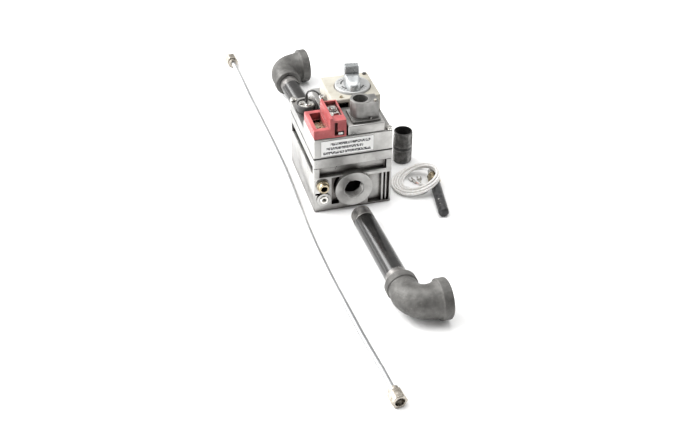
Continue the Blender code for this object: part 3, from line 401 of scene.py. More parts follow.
FINISHES = {
    "die_cast": finish("satin_casting", (0.33, 0.325, 0.315), (0.55, 0.545, 0.53), (0.26, 0.44), 1.0, 26.0,
                       grain=900.0, relief=0.6, wear=(0.86, 0.86, 0.85), speck=((0.20, 0.19, 0.18), 60.0, 0.5),
                       crevice_shade=(15.0, (0.055, 0.045, 0.038))),
    "tower": finish("rough_casting", (0.20, 0.197, 0.19), (0.36, 0.355, 0.345), (0.38, 0.56), 0.9, 40.0,
                    grain=700.0, relief=1.4, wear=(0.80, 0.80, 0.78), crevice_shade=(8.0, (0.055, 0.048, 0.042))),
    "steel": finish("plated_steel", (0.50, 0.49, 0.46), (0.80, 0.79, 0.76), (0.14, 0.34), 1.0, 160.0,
                    relief=0.3, wear=(0.92, 0.91, 0.89), crevice_shade=(3.0, (0.10, 0.09, 0.08))),
    "brass": finish("turned_brass", (0.31, 0.255, 0.165), (0.58, 0.50, 0.355), (0.14, 0.36), 1.0, 140.0,
                    relief=0.3, wear=(0.92, 0.86, 0.72), crevice_shade=(3.0, (0.10, 0.075, 0.045))),
    "nickel": finish("nickel_brass", (0.29, 0.26, 0.22), (0.56, 0.52, 0.455), (0.14, 0.36), 1.0, 140.0,
                     relief=0.3, wear=(0.93, 0.90, 0.86), crevice_shade=(4.0, (0.13, 0.11, 0.09))),
    "aluminium": finish("drawn_aluminium", (0.34, 0.345, 0.35), (0.58, 0.585, 0.59), (0.36, 0.52), 0.85, 50.0,
                        stretch=(1, 0.12, 1), grain=2200.0, relief=0.3, speck=((0.36, 0.36, 0.36), 240.0, 0.5)),
    "black_pipe": finish("pipe_lacquer", (0.012, 0.012, 0.011), (0.032, 0.031, 0.029), (0.20, 0.42), 0.0, 60.0,
                         relief=0.6, wear=(0.20, 0.19, 0.18), wear_amount=0.4),
    "malleable_iron": finish("malleable_iron", (0.070, 0.068, 0.064), (0.135, 0.132, 0.125), (0.42, 0.64), 0.35,
                             55.0, grain=620.0, relief=3.6, wear=(0.26, 0.25, 0.235), wear_width=1.4,
                             speck=((0.21, 0.20, 0.19), 420.0, 0.55), crevice_shade=(10.0, (0.022, 0.021, 0.019)),
                             lumps=(230.0, 0.7)),
    "cream_plastic": finish("cream_plastic", (0.34, 0.32, 0.27), (0.45, 0.43, 0.37), (0.36, 0.55), 0.0, 36.0,
                            relief=0.5, wear=(0.60, 0.57, 0.49), speck=((0.25, 0.19, 0.12), 90.0, 0.35),
                            crevice_shade=(8.0, (0.16, 0.12, 0.08))),
    "red_plastic": finish("red_plastic", (0.30, 0.050, 0.052), (0.43, 0.095, 0.095), (0.30, 0.50), 0.0, 60.0,
                          relief=0.5, wear=(0.62, 0.27, 0.26), speck=((0.14, 0.032, 0.03), 150.0, 0.4),
                          crevice_shade=(6.0, (0.07, 0.016, 0.014))),
    "black_plastic": finish("black_plastic", (0.016, 0.016, 0.015), (0.05, 0.048, 0.045), (0.28, 0.52), 0.0,
                            120.0, relief=0.6, wear=(0.16, 0.15, 0.14)),
    "black_rubber": finish("black_rubber", (0.012, 0.012, 0.012), (0.034, 0.033, 0.032), (0.35, 0.6), 0.0,
                           160.0, relief=0.5),
    "knob_grey": finish("knob_metal", (0.26, 0.272, 0.278), (0.44, 0.455, 0.46), (0.24, 0.42), 0.7, 90.0,
                        relief=0.6, wear=(0.88, 0.89, 0.90), wear_width=0.8, crevice_shade=(7.0, (0.05, 0.05, 0.05))),
    "spring_steel": finish("spring_steel", (0.30, 0.30, 0.30), (0.48, 0.48, 0.49), (0.20, 0.36), 1.0, 200.0),
    "sheath_black": finish("black_sheath", (0.022, 0.022, 0.023), (0.060, 0.060, 0.062), (0.30, 0.5), 0.4,
                           160.0, relief=0.6, wear=(0.30, 0.30, 0.30)),
}
print(len(FINISHES), "finishes:", ", ".join(FINISHES))

# %% [markdown]
# ## The coiled lead
# The thermopile's lead is a pair of wires in a white woven glass sleeve, about 0.84 m long and as limp as string.
# It is wound into a loose ring that rests on the table on its left and on the thermopile's nut on its right. A
# rope simulation could drop it there, but a coil is easier to lay out as a spiral: an angle that keeps
# growing, a radius that shrinks a strand's width each turn, and a height that rises over the nut.

# %% Route of the lead
LEAD_D = 3.3
COIL_X, COIL_Y, COIL_R = 96.5, -37.0, 26.5
ON_TABLE, OVER_NUT, LOWEST = 1.7, 18.9, 1.8      # heights of the lead's middle, in mm


def coil_route(first=80.0, last=1652.0, step=9.0):
    """Radius is the ring's plus a term that falls a strand a turn on the left; on the right the strands bunch
    two by two: w = (1 + cos(angle + 10)) / 2 lifts the ring and blends each turn to its own corner."""
    deg = np.arange(first, last + step / 2, step)
    a = np.radians(deg)
    w = np.where(deg < 180, 0.0, 0.5 + 0.5 * np.cos(a + radians(10)))
    which = np.clip(np.round(deg / 360.0 - 1.0), 0, 3).astype(int)
    corner_r = np.array((1.75, 1.75, -1.75, -1.75))[which]
    corner_z = np.array((-1.65, 1.65, -1.65, 1.65))[which]
    left = 7.0 - 3.4 * (deg - 180.0) / 360.0
    radius = COIL_R + left * (1 - w ** 2) + corner_r * w ** 2
    high = np.maximum(ON_TABLE + w * (OVER_NUT - ON_TABLE) + corner_z * np.sqrt(w), LOWEST)
    return np.stack([COIL_X + radius * np.cos(a), COIL_Y + radius * np.sin(a), high], axis=1)


coil = coil_route()
lead_in = [(121.5, -21.4, 7.6), (122.5, -15.6, 7.5), (122.4, -9.6, 6.3), (118.2, -4.6, 4.2), (110.6, -3.3, 2.2)]
lead_out = [(86.2, -54.6, 2.2), (92.0, -57.6, 1.8), (98.2, -57.8, 1.8), (103.2, -54.6, 1.8), (105.4, -49.0, 1.8),
            (104.0, -43.4, 1.7), (100.4, -39.6, 1.7), (98.4, -37.8, 1.8)]
route = np.vstack([lead_in, coil[1::2], lead_out])
lead_path = smooth_route(route, 0.9)
print("lead length", round(length_of(lead_path), 1), "mm, last coil point", np.round(coil[-1], 1).tolist())

# %% [markdown]
# ## Woven sleeve
# The sleeve is a braid of glass yarn. Its weave follows the lead, so the finish reads a map that is laid along
# and round the lead instead of plain space: two sets of slanting stripes that cross, one up where the other
# goes under.

# %% Sleeve finish
def lay_map(target, path, count):
    """Writes the map of a swept tube: u is the way along it and v the way round it, both in millimetres."""
    mesh = target.data
    run = np.concatenate([[0], np.cumsum(np.linalg.norm(np.diff(path, axis=0), axis=1))])
    layer = mesh.uv_layers.new(name="along")
    verts = np.zeros(len(mesh.loops), np.int32)
    mesh.loops.foreach_get("vertex_index", verts)
    step = np.zeros(len(mesh.loops), np.int32)
    row = np.minimum(verts // count, len(run) - 1)
    column = verts % count
    starts = np.zeros(len(mesh.polygons), np.int32)
    sizes = np.zeros(len(mesh.polygons), np.int32)
    mesh.polygons.foreach_get("loop_start", starts)
    mesh.polygons.foreach_get("loop_total", sizes)
    face = np.repeat(np.arange(len(starts)), sizes)
    high = np.maximum.reduceat(column, starts)[face]
    low = np.minimum.reduceat(column, starts)[face]
    column = np.where((high == count - 1) & (low == 0) & (column == 0), count, column)
    pairs = np.stack([run[row], column * pi * LEAD_D / count], axis=1)
    layer.data.foreach_set("uv", pairs.astype(np.float32).ravel())


def sleeve_finish(name, base, shade):
    """The weave is the product of two waves that slant either way; the shade comes through in slow spots."""
    made, tree, shader, _ = blank_finish(name, Roughness=0.62, Sheen_Weight=0.15)
    along = node_of(tree, "ShaderNodeUVMap", uv_map="along").outputs[0]
    slants = []
    for turn in (0.75, -0.75):
        lay = node_of(tree, "ShaderNodeMapping", Rotation=(0, 0, turn))
        wave = node_of(tree, "ShaderNodeTexWave", Scale=0.42, Distortion=0.6, Detail=1.0)
        feed(tree, lay.inputs["Vector"], along)
        feed(tree, wave.inputs["Vector"], lay.outputs[0])
        slants.append(wave.outputs["Fac"])
    weave = maths(tree, "MULTIPLY", *slants)
    tone = mixed(tree, ranged(tree, noise(tree, along, 0.35, 5.0), 0.45, 0.75), base, shade)
    feed_shader(tree, shader, Base_Color=mixed(tree, 0.12, tone, weave, "MULTIPLY"),
          Normal=relief_of(tree, weave, 0.5, 0.12))
    return made


FINISHES["white_sleeve"] = sleeve_finish("glass_sleeve", (0.93, 0.925, 0.91), (0.76, 0.70, 0.64))
SIDES = 14
lead = skin("thermopile_lead", swept(lead_path, LEAD_D / 2, SIDES), FINISHES["white_sleeve"], body=None)
lay_map(lead, lead_path, SIDES)
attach(lead, "valve")
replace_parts(lead, "lead_coil", "lead_start", "lead_tail")
print("lead has", len(lead.data.polygons), "faces")

# %% [markdown]
# ## Two conductors
# Where the sleeve stops, its two wires part and each ends in a crimped fork. They are short tubes that bow
# apart; one is insulated in a pinkish colour.

# %% Conductors
pink = finish("pink_insulation", (0.70, 0.40, 0.34), (0.84, 0.58, 0.50), (0.4, 0.6), 0.0, 200.0)
pale = finish("white_insulation", (0.74, 0.72, 0.68), (0.88, 0.86, 0.82), (0.4, 0.6), 0.0, 200.0)
tail_end = np.array(lead_out[-1])
for name, colour, shift, goal in (("conductor_left", pink, -0.75, (95.3, -34.4)),
                                  ("conductor_right", pale, 0.75, (101.1, -34.4))):
    line = smooth_route([tail_end + (shift + 0.6, -1.6, -0.1), tail_end + (shift, 0.2, 0.0),
                         (goal[0] * 0.5 + tail_end[0] * 0.5, -36.0, 1.9), (goal[0], goal[1], 1.9)], 0.4)
    radii = np.full(len(line), 0.75)
    radii[[0, -1]] = 0.02
    skin(name, swept(line, radii, 10), colour)

# %% [markdown]
# ## Pipe nipples
# A nipple is a length of steel pipe, lacquered black, with a tapered thread cut at each end after the lacquer,
# so the threads are bare grey. A thread is a ridge that climbs one pitch a turn: its radius depends on how far
# along and how far round a point is. Mixing two finishes by a value stored on each point puts the lacquer's
# edge exactly where the thread starts.

# %% Pipe surface
PIPE_R, BORE_R, PITCH, THREAD = 13.35, 10.45, 1.814, 19.0


def ridge(t, turn, pitch, depth):
    """A V thread: depth times the distance from the crest, which climbs one pitch a turn, cut flat a little."""
    phase = (t / pitch - turn) % 1.0
    return depth * np.clip(np.abs(phase - 0.5) * 2 * 1.15 - 0.08, 0.0, 1.0)


def pipe_points(length, thread, count=56):
    """Radius along the outside: the pipe's, less a taper of 1 in 32 and a ridge near either end; then back
    along the bore. The rows are close together in the threads and far apart between them."""
    near = np.arange(0, thread + 1.5, PITCH / 7)
    rows = np.concatenate([near, np.linspace(thread + 2, length - thread - 2, 12), length - near[::-1]])
    if length < 2 * thread + 10:
        rows = np.arange(0, length + 0.01, PITCH / 7)
    t = rows[:, None]
    turn = (np.arange(count) / count)[None, :]
    end = np.minimum(t, length - t)
    fade = np.clip((thread + 0.6 - end) / 2.2, 0.0, 1.0)
    taper = 0.5 * np.clip((thread - end) / thread, 0.0, 1.0)
    radius = PIPE_R - taper - fade * ridge(t, turn, PITCH, 1.0)
    radius = np.where(end < 1.0, np.minimum(radius, PIPE_R - 1.5 + 0.7 * end), radius)
    bore = np.array([(BORE_R + 0.5, length), (BORE_R, length - 1.0), (BORE_R, 1.0), (BORE_R + 0.5, 0.0)])
    a = around(count)
    outside = np.stack([radius * np.cos(a), radius * np.sin(a), np.broadcast_to(t, radius.shape)], axis=-1)
    return np.concatenate([outside, turned(bore, count)])


def bare_and_lacquer(name, bare, lacquer):
    """Where the attribute called bare is 1 the first finish shows, and where it is 0 the second. Each is a pair of
    tones, a roughness and how metallic it is. Both take painted shade at a thread's root, where the attribute crest
    is 0."""
    made, tree, shader, place = blank_finish(name)
    mask, crest = (node_of(tree, "ShaderNodeAttribute", attribute_name=n).outputs["Fac"] for n in ("bare", "crest"))
    wobble = ranged(tree, noise(tree, place, 700.0, 3.0), 0.3, 0.7, -0.12, 0.12)
    cut = ranged(tree, maths(tree, "ADD", mask, wobble), 0.42, 0.58)
    wander = noise(tree, place, 130.0, 7.0)
    tones = [mixed(tree, ranged(tree, wander, 0.36, 0.66), *pair) for pair in (lacquer[0], bare[0])]
    # painted shade: a thread's groove is darkened, down to 0.22 of its colour at the root
    root_shade = ranged(tree, crest, 0.0, 1.0, 0.22, 1.0)
    feed_shader(tree, shader, Base_Color=mixed(tree, 1.0, mixed(tree, cut, *tones), root_shade, "MULTIPLY"),
          Roughness=ranged(tree, cut, 0.0, 1.0, lacquer[1], bare[1]),
          Metallic=ranged(tree, cut, 0.0, 1.0, lacquer[2], bare[2]),
          Normal=relief_of(tree, noise(tree, place, 1600.0, 3.0), 0.6, 0.05))
    return made


pipe_finish = bare_and_lacquer("lacquered_pipe", (((0.13, 0.125, 0.12), (0.27, 0.26, 0.25)), 0.42, 0.7),
                               (((0.006, 0.006, 0.006), (0.016, 0.015, 0.014)), 0.17, 0.0))
dark_thread = bare_and_lacquer("oiled_thread", (((0.17, 0.168, 0.162), (0.38, 0.372, 0.36)), 0.36, 0.7),
                               (((0.03, 0.03, 0.029), (0.075, 0.073, 0.07)), 0.34, 0.5))


def mark(target, name, values):
    """Stores one number on each point of a skin, under a name that its finish can read."""
    layer = target.data.attributes.new(name, "FLOAT", "POINT")
    layer.data.foreach_set("value", values.astype(np.float32))


def places(target):
    """The points of a skin, in millimetres, as one array."""
    flat = np.zeros(len(target.data.vertices) * 3, np.float32)
    target.data.vertices.foreach_get("co", flat)
    return flat.reshape(-1, 3).astype(float) / MM


def crest_of(radius, way, length):
    """1 at the thread's crest and on plain pipe, 0 at its root."""
    end = np.minimum(way, length - way)
    top = PIPE_R - 0.5 * np.clip((THREAD - end) / THREAD, 0.0, 1.0)
    return np.clip(1.0 - (top - radius) / 0.85, 0.0, 1.0)


print("thread of", round(THREAD / PITCH, 1), "turns")

# %% [markdown]
# ## Where the pipes lie
# Each pipe leans a little: its elbow is fatter than the pipe, so the pipe's free end touches the table and the
# elbow holds the other end up. The same numbers that laid out the solids are worked through again here.

# %% Nipples in place
ELBOW_LEG, ENGAGED, NIPPLE, MOUTH_R = 42.0, 13.0, 165.0, 24.4
near = ELBOW_LEG - ENGAGED              # from the elbow's middle to the pipe's screwed-in end
far = near + NIPPLE
height = MOUTH_R + 0.05                 # of the elbow's middle, which its mouth band holds up
drop = (height - (PIPE_R - 0.35)) / (far - 1.2)     # slope of the pipe, small enough to serve as its angle
# each pipe: where its elbow stands, which way it points along Y, and how far it is turned
LAYOUT = (("front", (3.2, -291.0), 1, radians(0.85)), ("rear", (-18.0, 275.0), -1, radians(5.0)))


def turn_of(tilt, yaw):
    """A turn about X and then about Z, as a matrix."""
    about_x = np.array([[1, 0, 0], [0, cos(tilt), -sin(tilt)], [0, sin(tilt), cos(tilt)]])
    about_z = np.array([[cos(yaw), -sin(yaw), 0], [sin(yaw), cos(yaw), 0], [0, 0, 1]])
    return about_z @ about_x


for name, (x, y), side, yaw in LAYOUT:
    along = np.array((-sin(yaw) * side * cos(drop), cos(yaw) * side * cos(drop), -sin(drop)))
    start = np.array((x, y, height)) + along * near
    local = pipe_points(NIPPLE, THREAD)
    placed = local @ turn_of(radians(-90 * side) - side * drop, yaw).T + start
    pipe = skin(name + "_pipe", placed, pipe_finish, closed_along=True, sharp=60)
    spots = places(pipe) - start
    way = spots @ along
    radius = np.linalg.norm(spots - way[:, None] * along, axis=1)
    end = np.minimum(way, NIPPLE - way)
    bare = np.where(way < NIPPLE / 2, np.clip((24.5 - way) * 2 + 0.5, 0, 1), np.clip((20.0 - end) * 2 + 0.5, 0, 1))
    mark(pipe, "bare", bare)
    mark(pipe, "crest", crest_of(radius, way, NIPPLE))
    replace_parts(pipe, name + "_nipple")
    print(pipe.name, len(pipe.data.polygons), "faces")

# %% [markdown]
# ## Close nipple
# The shortest nipple is threaded from both ends until the threads nearly meet, and it stands on one end. It is the
# same surface as the long ones, only shorter, so its threads take in all but a narrow band at the middle. It was
# oiled and not lacquered, hence the second pair of tones.

# %% Short nipple on end
CLOSE_AT, CLOSE_LENGTH = np.array((95.7, 26.1, 0.02)), 46.5
close = skin("short_pipe", pipe_points(CLOSE_LENGTH, 20.5, 64) + CLOSE_AT, dark_thread, closed_along=True, sharp=60)
spots = places(close) - CLOSE_AT
mark(close, "bare", np.clip(np.abs(spots[:, 2] - 23.2) / 2.0 - 0.6, 0, 1))
mark(close, "crest", crest_of(np.linalg.norm(spots[:, :2], axis=1), spots[:, 2], CLOSE_LENGTH))
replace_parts(close, "close_nipple")
print(close.name, len(close.data.polygons), "faces")

# %% [markdown]
# ## Elbows
# The elbows are malleable iron castings: a quarter bend with a rolled band round each end. The outside is one
# circle carried along the bend while its radius changes, and the inside comes back the other way, with a
# thread in the open mouth. The foundry's rough skin comes from the finish and from a little real unevenness.

# %% Elbow surface
BEND_R = 22.0
PLAIN_LEG, BEND_ARC = ELBOW_LEG - BEND_R, BEND_R * pi / 2
ELBOW_RUN = 2 * PLAIN_LEG + BEND_ARC


def bend_path(t, side):
    """Straight for a leg, a quarter turn of the bend's radius, and straight again: t is the way along it."""
    a = np.clip((t - PLAIN_LEG) / BEND_R, 0, pi / 2)
    before = np.clip(PLAIN_LEG - t, 0, None)
    after = np.clip(t - PLAIN_LEG - BEND_ARC, 0, None)
    return np.stack([BEND_R - BEND_R * np.cos(a) + after, side * (BEND_R - BEND_R * np.sin(a) + before),
                     np.zeros_like(t)], axis=1)


def elbow_points(side, count=56):
    """Outside: the radius swells from band to bend to mouth band. Inside: bore, bend, and a threaded mouth.
    The outside is pressed in by up to 0.6 per cent, where the sine of three times the way round is low."""
    run = ELBOW_RUN
    key_t = (0, 0.5, 1.3, 9.4, 10.2, 10.9, 12.4, 20.0, 37.3, 54.6, run - 17, run - 14.0, run - 12.7,
             run - 12.2, run - 11.4, run - 1.5, run - 0.6, run)
    key_r = (17.9, 18.8, 19.2, 19.2, 18.8, 17.7, 17.5, 18.4, 19.2, 20.0, 20.5, 21.6, 22.2,
             23.6, 24.35, 24.4, 23.9, 23.1)
    t_out = np.unique(np.concatenate([np.linspace(0, run, 90), np.linspace(9, 13, 16), key_t]))
    centre = bend_path(t_out, side)
    outside = swept(centre, np.interp(t_out, key_t, key_r), count)
    uneven = 1.0 + 0.006 * np.sin(3 * around(count) + 1.0)[None, :, None] * np.sin(t_out / 17.0)[:, None, None]
    outside = centre[:, None] + (outside - centre[:, None]) * np.minimum(uneven, 1.0)
    mouth = np.arange(run - 15.5, run - 0.9, PITCH / 6)
    t_in = np.concatenate([[0, 1.0, 6, 14, 16], np.linspace(18, run - 18, 14), mouth, [run]])[::-1]
    key_ti = (0, 1.0, 15, 17, 20, 54, run - 18, run - 16, run - 1.0, run)
    key_ri = (14.2, 13.6, 13.6, 11.0, 11.0, 12.0, 12.4, 15.9, 16.4, 17.2)
    centre = bend_path(t_in, side)
    turn = (np.arange(count) / count)[None, :]
    threaded = ((t_in > run - 15.5) & (t_in < run - 0.9))[:, None]
    radius = np.interp(t_in, key_ti, key_ri)[:, None] - threaded * ridge(t_in[:, None], turn, PITCH, 0.8)
    inside = centre[:, None] + (swept(centre, 1.0, count) - centre[:, None]) * radius[:, :, None]
    return np.concatenate([outside, inside])


for name, (x, y), side, yaw in LAYOUT:
    placed = elbow_points(side) @ turn_of(-side * drop, yaw).T + np.array((x, y, height))
    casting = skin(name + "_elbow_casting", placed, FINISHES["malleable_iron"], closed_along=True, sharp=50)
    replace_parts(casting, name + "_elbow")
    print(casting.name, len(casting.data.polygons), "faces")

# %% [markdown]
# ## Pilot tube
# The pilot tube is soft aluminium, a quarter of an inch thick, cut from a coil and straightened by hand, so it
# wanders. It lies on the table and lifts only at its ends, where the nuts are thicker than the tube. Each end
# is flared to hold its nut.

# %% Tube
TUBE_ROUTE = [(-78.4, 352.0), (-77.0, 321.5), (-72.8, 243.8), (-69.2, 160.0), (-66.8, 100.0), (-65.6, 50.0),
              (-65.8, 0.0), (-67.2, -50.0), (-67.8, -100.0), (-66.8, -150.0), (-64.6, -203.0), (-61.4, -250.0),
              (-58.0, -300.0), (-55.2, -350.0), (-50.8, -406.0)]
TUBE_R, END_Z, STRAIGHT_END, RISE = 3.175, 8.01, 46.0, 70.0
flat = smooth_route([(x, y, 0) for x, y in TUBE_ROUTE], 2.0)
run = np.concatenate([[0], np.cumsum(np.linalg.norm(np.diff(flat, axis=0), axis=1))])
tube_length = run[-1]
ends = np.minimum(run, tube_length - run)
for chosen, first in (((run < STRAIGHT_END), 0), ((run > tube_length - STRAIGHT_END), -1)):
    aim = flat[40 if first == 0 else -41] - flat[first]
    aim /= np.linalg.norm(aim)
    flat[chosen] = flat[first] + aim * ends[chosen][:, None]
rise = np.clip((ends - STRAIGHT_END) / RISE, 0, 1)
flat[:, 2] = END_Z + (TUBE_R + 0.1 - END_Z) * rise * rise * (3 - 2 * rise)
outer = np.interp(ends, (0, 0.6, 2.6, 20), (4.7, 4.7, TUBE_R, TUBE_R))
inner = np.interp(ends, (0, 2.0, 20), (4.0, 2.4, 2.4))
both_walls = np.concatenate([swept(flat, outer, 28), swept(flat, inner, 28)[::-1]])
tube = skin("aluminium_tube", both_walls, FINISHES["aluminium"], closed_along=True)
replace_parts(tube, "pilot_tube")
print("tube", round(float(tube_length), 1), "mm")

# %% [markdown]
# ## Threads in the ports
# A gas port that holds a pipe is threaded. The solid has a plain hole, so a thin threaded sleeve is set into
# each: its outside is plain and hides in the casting, and its inside is the same climbing ridge as the pipes',
# pointing inwards.

# %% Port sleeves
def port_points(count=64):
    """Inside radius narrows 1 in 32 and carries a ridge; the wall's outside stays just under the hole's."""
    t = np.arange(0, 11.5, PITCH / 7)[:, None]
    turn = (np.arange(count) / count)[None, :]
    radius = 13.1 - t / 32 - 1.0 + ridge(t, turn, PITCH, 0.95)
    radius = np.where(t < 0.8, np.maximum(radius, 13.35 - 0.4 * t), radius)
    a = around(count)
    inside = np.stack([radius * np.cos(a), radius * np.sin(a), np.broadcast_to(t, radius.shape)], axis=-1)
    outside = turned([(13.5, 11.6), (13.5, -0.0)], count)
    return np.concatenate([inside, outside])


for name, way in (("outlet_thread", 1.0), ("inlet_thread", -1.0)):
    at = (0.0, -67.9 * way, 31.2)
    sleeve = skin(name, aimed(port_points(), at, (0, way, 0)), FINISHES["die_cast"], closed_along=True, sharp=60)
    print(name, len(sleeve.data.polygons), "faces")

# %% [markdown]
# ## Finer copies of the castings and mouldings
# The solids that have the right shape only lack what a foundry or a mould leaves: edges that catch the light.
# A copy of each is welded, its flat faces are merged, and a small bevel runs round its edges. The original
# could carry a bevel too, but its triangles are loose, so a copy is the clean way.

# %% Copy, weld and bevel
BODY_OF = {node: body for body, nodes in frame["record"]["behaviour"]["bodies"].items() for node in nodes}


def refined(node, coat, width=0.35, segments=2, sharp=35.0, limit=42.0):
    """A welded copy of the solid with its flat faces merged and its edges rounded by the width in mm."""
    mesh = frame["nodes"][node].data.copy()
    mesh.name = node + "_fine"
    work = bmesh.new()
    work.from_mesh(mesh)
    bmesh.ops.remove_doubles(work, verts=work.verts, dist=3e-6)
    bmesh.ops.dissolve_limit(work, angle_limit=radians(0.6), verts=work.verts, edges=work.edges)
    work.to_mesh(mesh)
    work.free()
    mesh.polygons.foreach_set("use_smooth", np.ones(len(mesh.polygons), bool))
    mesh.set_sharp_from_angle(angle=radians(sharp))
    mesh.materials.clear()
    mesh.materials.append(coat)
    made = bpy.data.objects.new(node + "_fine", mesh)
    bpy.context.scene.collection.objects.link(made)
    if width:
        step = made.modifiers.new("edges", "BEVEL")
        step.width = width * MM
        step.segments = segments
        step.limit_method = "ANGLE"
        step.angle_limit = radians(limit)
        step.harden_normals = True
    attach(made, BODY_OF[node])
    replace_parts(made, node)
    return made


SLOT_OF = {}
for name, solid in frame["nodes"].items():
    SLOT_OF[name] = solid.data.materials[0].name.split(".")[0] if solid.data.materials else "steel"
print({slot: sum(1 for s in SLOT_OF.values() if s == slot) for slot in sorted(set(SLOT_OF.values()))})

# %% [markdown]
# ## Printed label
# A paper label is stuck to the cover's front. What is printed on it is left generic: three rows of short dark
# marks. They come from a fine noise that is cut hard and shown only inside three bands of height.

# %% Label finish
label_low, label_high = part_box("rating_label")


def label_finish(name, low, high):
    """Dark where a noise stretched upright passes a level and the height lies in one of three rows."""
    made, tree, shader, place = blank_finish(name, Roughness=0.55)
    split = node_of(tree, "ShaderNodeSeparateXYZ")
    feed(tree, split.inputs[0], place)
    lay = node_of(tree, "ShaderNodeMapping", Scale=(1.0, 0.0, 0.7))
    feed(tree, lay.inputs["Vector"], place)
    ink = ranged(tree, noise(tree, lay.outputs[0], 720.0, 1.0), 0.44, 0.47)
    width, tall = high[0] - low[0], high[2] - low[2]
    rows = []
    for share, start, stop in ((0.76, 0.18, 0.94), (0.47, 0.10, 0.80), (0.18, 0.04, 0.95)):
        in_row = maths(tree, "COMPARE", split.outputs["Z"], low[2] + share * tall, 0.0019)
        in_span = maths(tree, "COMPARE", split.outputs["X"], low[0] + 0.5 * (start + stop) * width,
                        0.5 * (stop - start) * width)
        rows.append(maths(tree, "MULTIPLY", in_row, in_span))
    all_rows = maths(tree, "ADD", maths(tree, "ADD", rows[0], rows[1]), rows[2])
    grime = noise(tree, place, 70.0, 6.0)
    paper = mixed(tree, grime, (0.80, 0.80, 0.79), (0.92, 0.92, 0.91))
    printed = mixed(tree, maths(tree, "MULTIPLY", all_rows, ink), paper, (0.035, 0.035, 0.04))
    feed_shader(tree, shader, Base_Color=printed, Normal=relief_of(tree, grime, 0.4, 0.03))
    return made


FINISHES["label_paper"] = label_finish("printed_label", label_low, label_high)
print("label", round((label_high[0] - label_low[0]) / MM, 1), "mm wide")

# %% [markdown]
# ## Thermopile sheath and cap
# The sheath is a steel tube blackened by heat treatment, with a rolled ring and a small bright weld dot near
# its closed tip. The magnet's cap is a black ring with a plated steel plate in it that carries two screws.

# %% Sheath, dot and cap plate
PROBE_AT, PROBE_LENGTH, PROBE_R = np.array((117.1, -47.0, 7.4)), 70.0, 6.7
tip = PROBE_AT + np.array((-0.169, -0.986, 0.0)) / np.hypot(0.169, 0.986) * PROBE_LENGTH
tip[2] = PROBE_R + 0.04
axis = (tip - PROBE_AT) / np.linalg.norm(tip - PROBE_AT)
probe_profile = [(0, -11), (5.3, -11), (5.3, -0.2), (6.2, -0.1), (6.6, 0.3), (PROBE_R, 0.8), (PROBE_R, 58.6),
                 (6.45, 58.9), (6.4, 59.4), (6.6, 59.8), (PROBE_R, 60.1), (PROBE_R, 67.4), (6.45, 68.4), (5.9, 69.3),
                 (4.9, 69.8), (4.0, PROBE_LENGTH), (0, PROBE_LENGTH)]
sheath = skin("blackened_sheath", aimed(turned(probe_profile, 56), PROBE_AT, axis), FINISHES["sheath_black"])
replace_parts(sheath, "thermopile_sheath")
up = np.cross(np.cross(axis, (0, 0, 1.0)), axis)
left = np.cross(up, axis)
normal = up * 0.86 - left * 0.5
for k, (way, size) in enumerate(((46.5, 1.15), (56.2, 0.7))):
    spot = PROBE_AT + axis * way + normal / np.linalg.norm(normal) * 6.45
    dome = turned([(0, 0), (size, 0), (size * 0.8, 0.45), (0, 0.6)], 16)
    dot = skin("weld_dot_%d" % (k + 1), aimed(dome, spot, normal), FINISHES["steel"])
CAP_AT = np.array((-37.0, 31.0, 0))
cap_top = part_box("magnet_cap")[1][2] / MM
plate_profile = [(0, cap_top - 1.36), (10.2, cap_top - 1.36), (10.2, cap_top - 1.0), (9.9, cap_top - 0.8),
                 (0, cap_top - 0.8)]
plate_in_cap = skin("cap_plate", turned(plate_profile, 48) + CAP_AT, FINISHES["steel"])
print("sheath", len(sheath.data.polygons), "faces")

# %% [markdown]
# ## Small parts that the solids leave out
# A gasket lies between the cover and the plate below it, and its dark edge shows all round. Under each
# terminal screw there is a washer, and the left one bites on a brass strip. They could be solids too, but they
# are too thin to matter to a collision, so they are only drawn here. The gasket is a band round a rectangle.

# %% Gasket edge
def frame_strip(half_x, half_y, low, high, thick, corner=1.4, count=10):
    """A band round a rectangle with rounded corners: each corner is a quarter circle, and four points of the
    band's section stand on every point of that outline."""
    quarter = np.linspace(0, pi / 2, count)
    line = []
    for k, (x, y) in enumerate(((1, 1), (-1, 1), (-1, -1), (1, -1))):
        a = quarter + k * pi / 2
        line.append(np.stack([x * (half_x - corner) + corner * np.cos(a), y * (half_y - corner) + corner * np.sin(a),
                              np.cos(a), np.sin(a)], axis=1))
    line = np.vstack(line)
    corners = [(0.0, low), (0.0, high), (-thick, high), (-thick, low)]
    x, y, out_x, out_y = line.T
    return np.stack([np.stack([x + o * out_x, y + o * out_y, np.full(len(line), z)], axis=1) for o, z in corners])


gasket = skin("cover_gasket", frame_strip(51.12, 63.12, 79.35, 80.75, 0.35), FINISHES["black_rubber"],
              closed_along=True)
print("gasket", len(gasket.data.polygons), "faces")

# %% [markdown]
# ## Washers and terminal strip
# A washer is a ring that is turned like any round piece, from a section with softened edges. The strip could be
# a plain plate, but the gasket's band does it too when it is made wide: only a slit is left along the middle, and
# the ends lap over the sides in the same plane.

# %% Washers and strip
for name, x, y, low, inner, outer in (("washer_left", -38.5, -46.5, 112.25, 4.3, 5.9),
                                      ("washer_right", -17.6, -28.5, 127.95, 4.4, 5.7)):
    section = [(inner, low), (outer - 0.2, low), (outer, low + 0.25), (outer, low + 0.6), (outer - 0.25, low + 0.85),
               (inner, low + 0.85)]
    washer = skin(name, turned(section, 40) + np.array((x, y, 0)), FINISHES["steel"], closed_along=True)
strip = skin("terminal_strip", frame_strip(6.4, 16.5, 111.92, 112.18, 6.2, 1.0) + np.array((-38.5, -39.0, 0)),
             FINISHES["brass"], closed_along=True)
print("two washers and a strip")

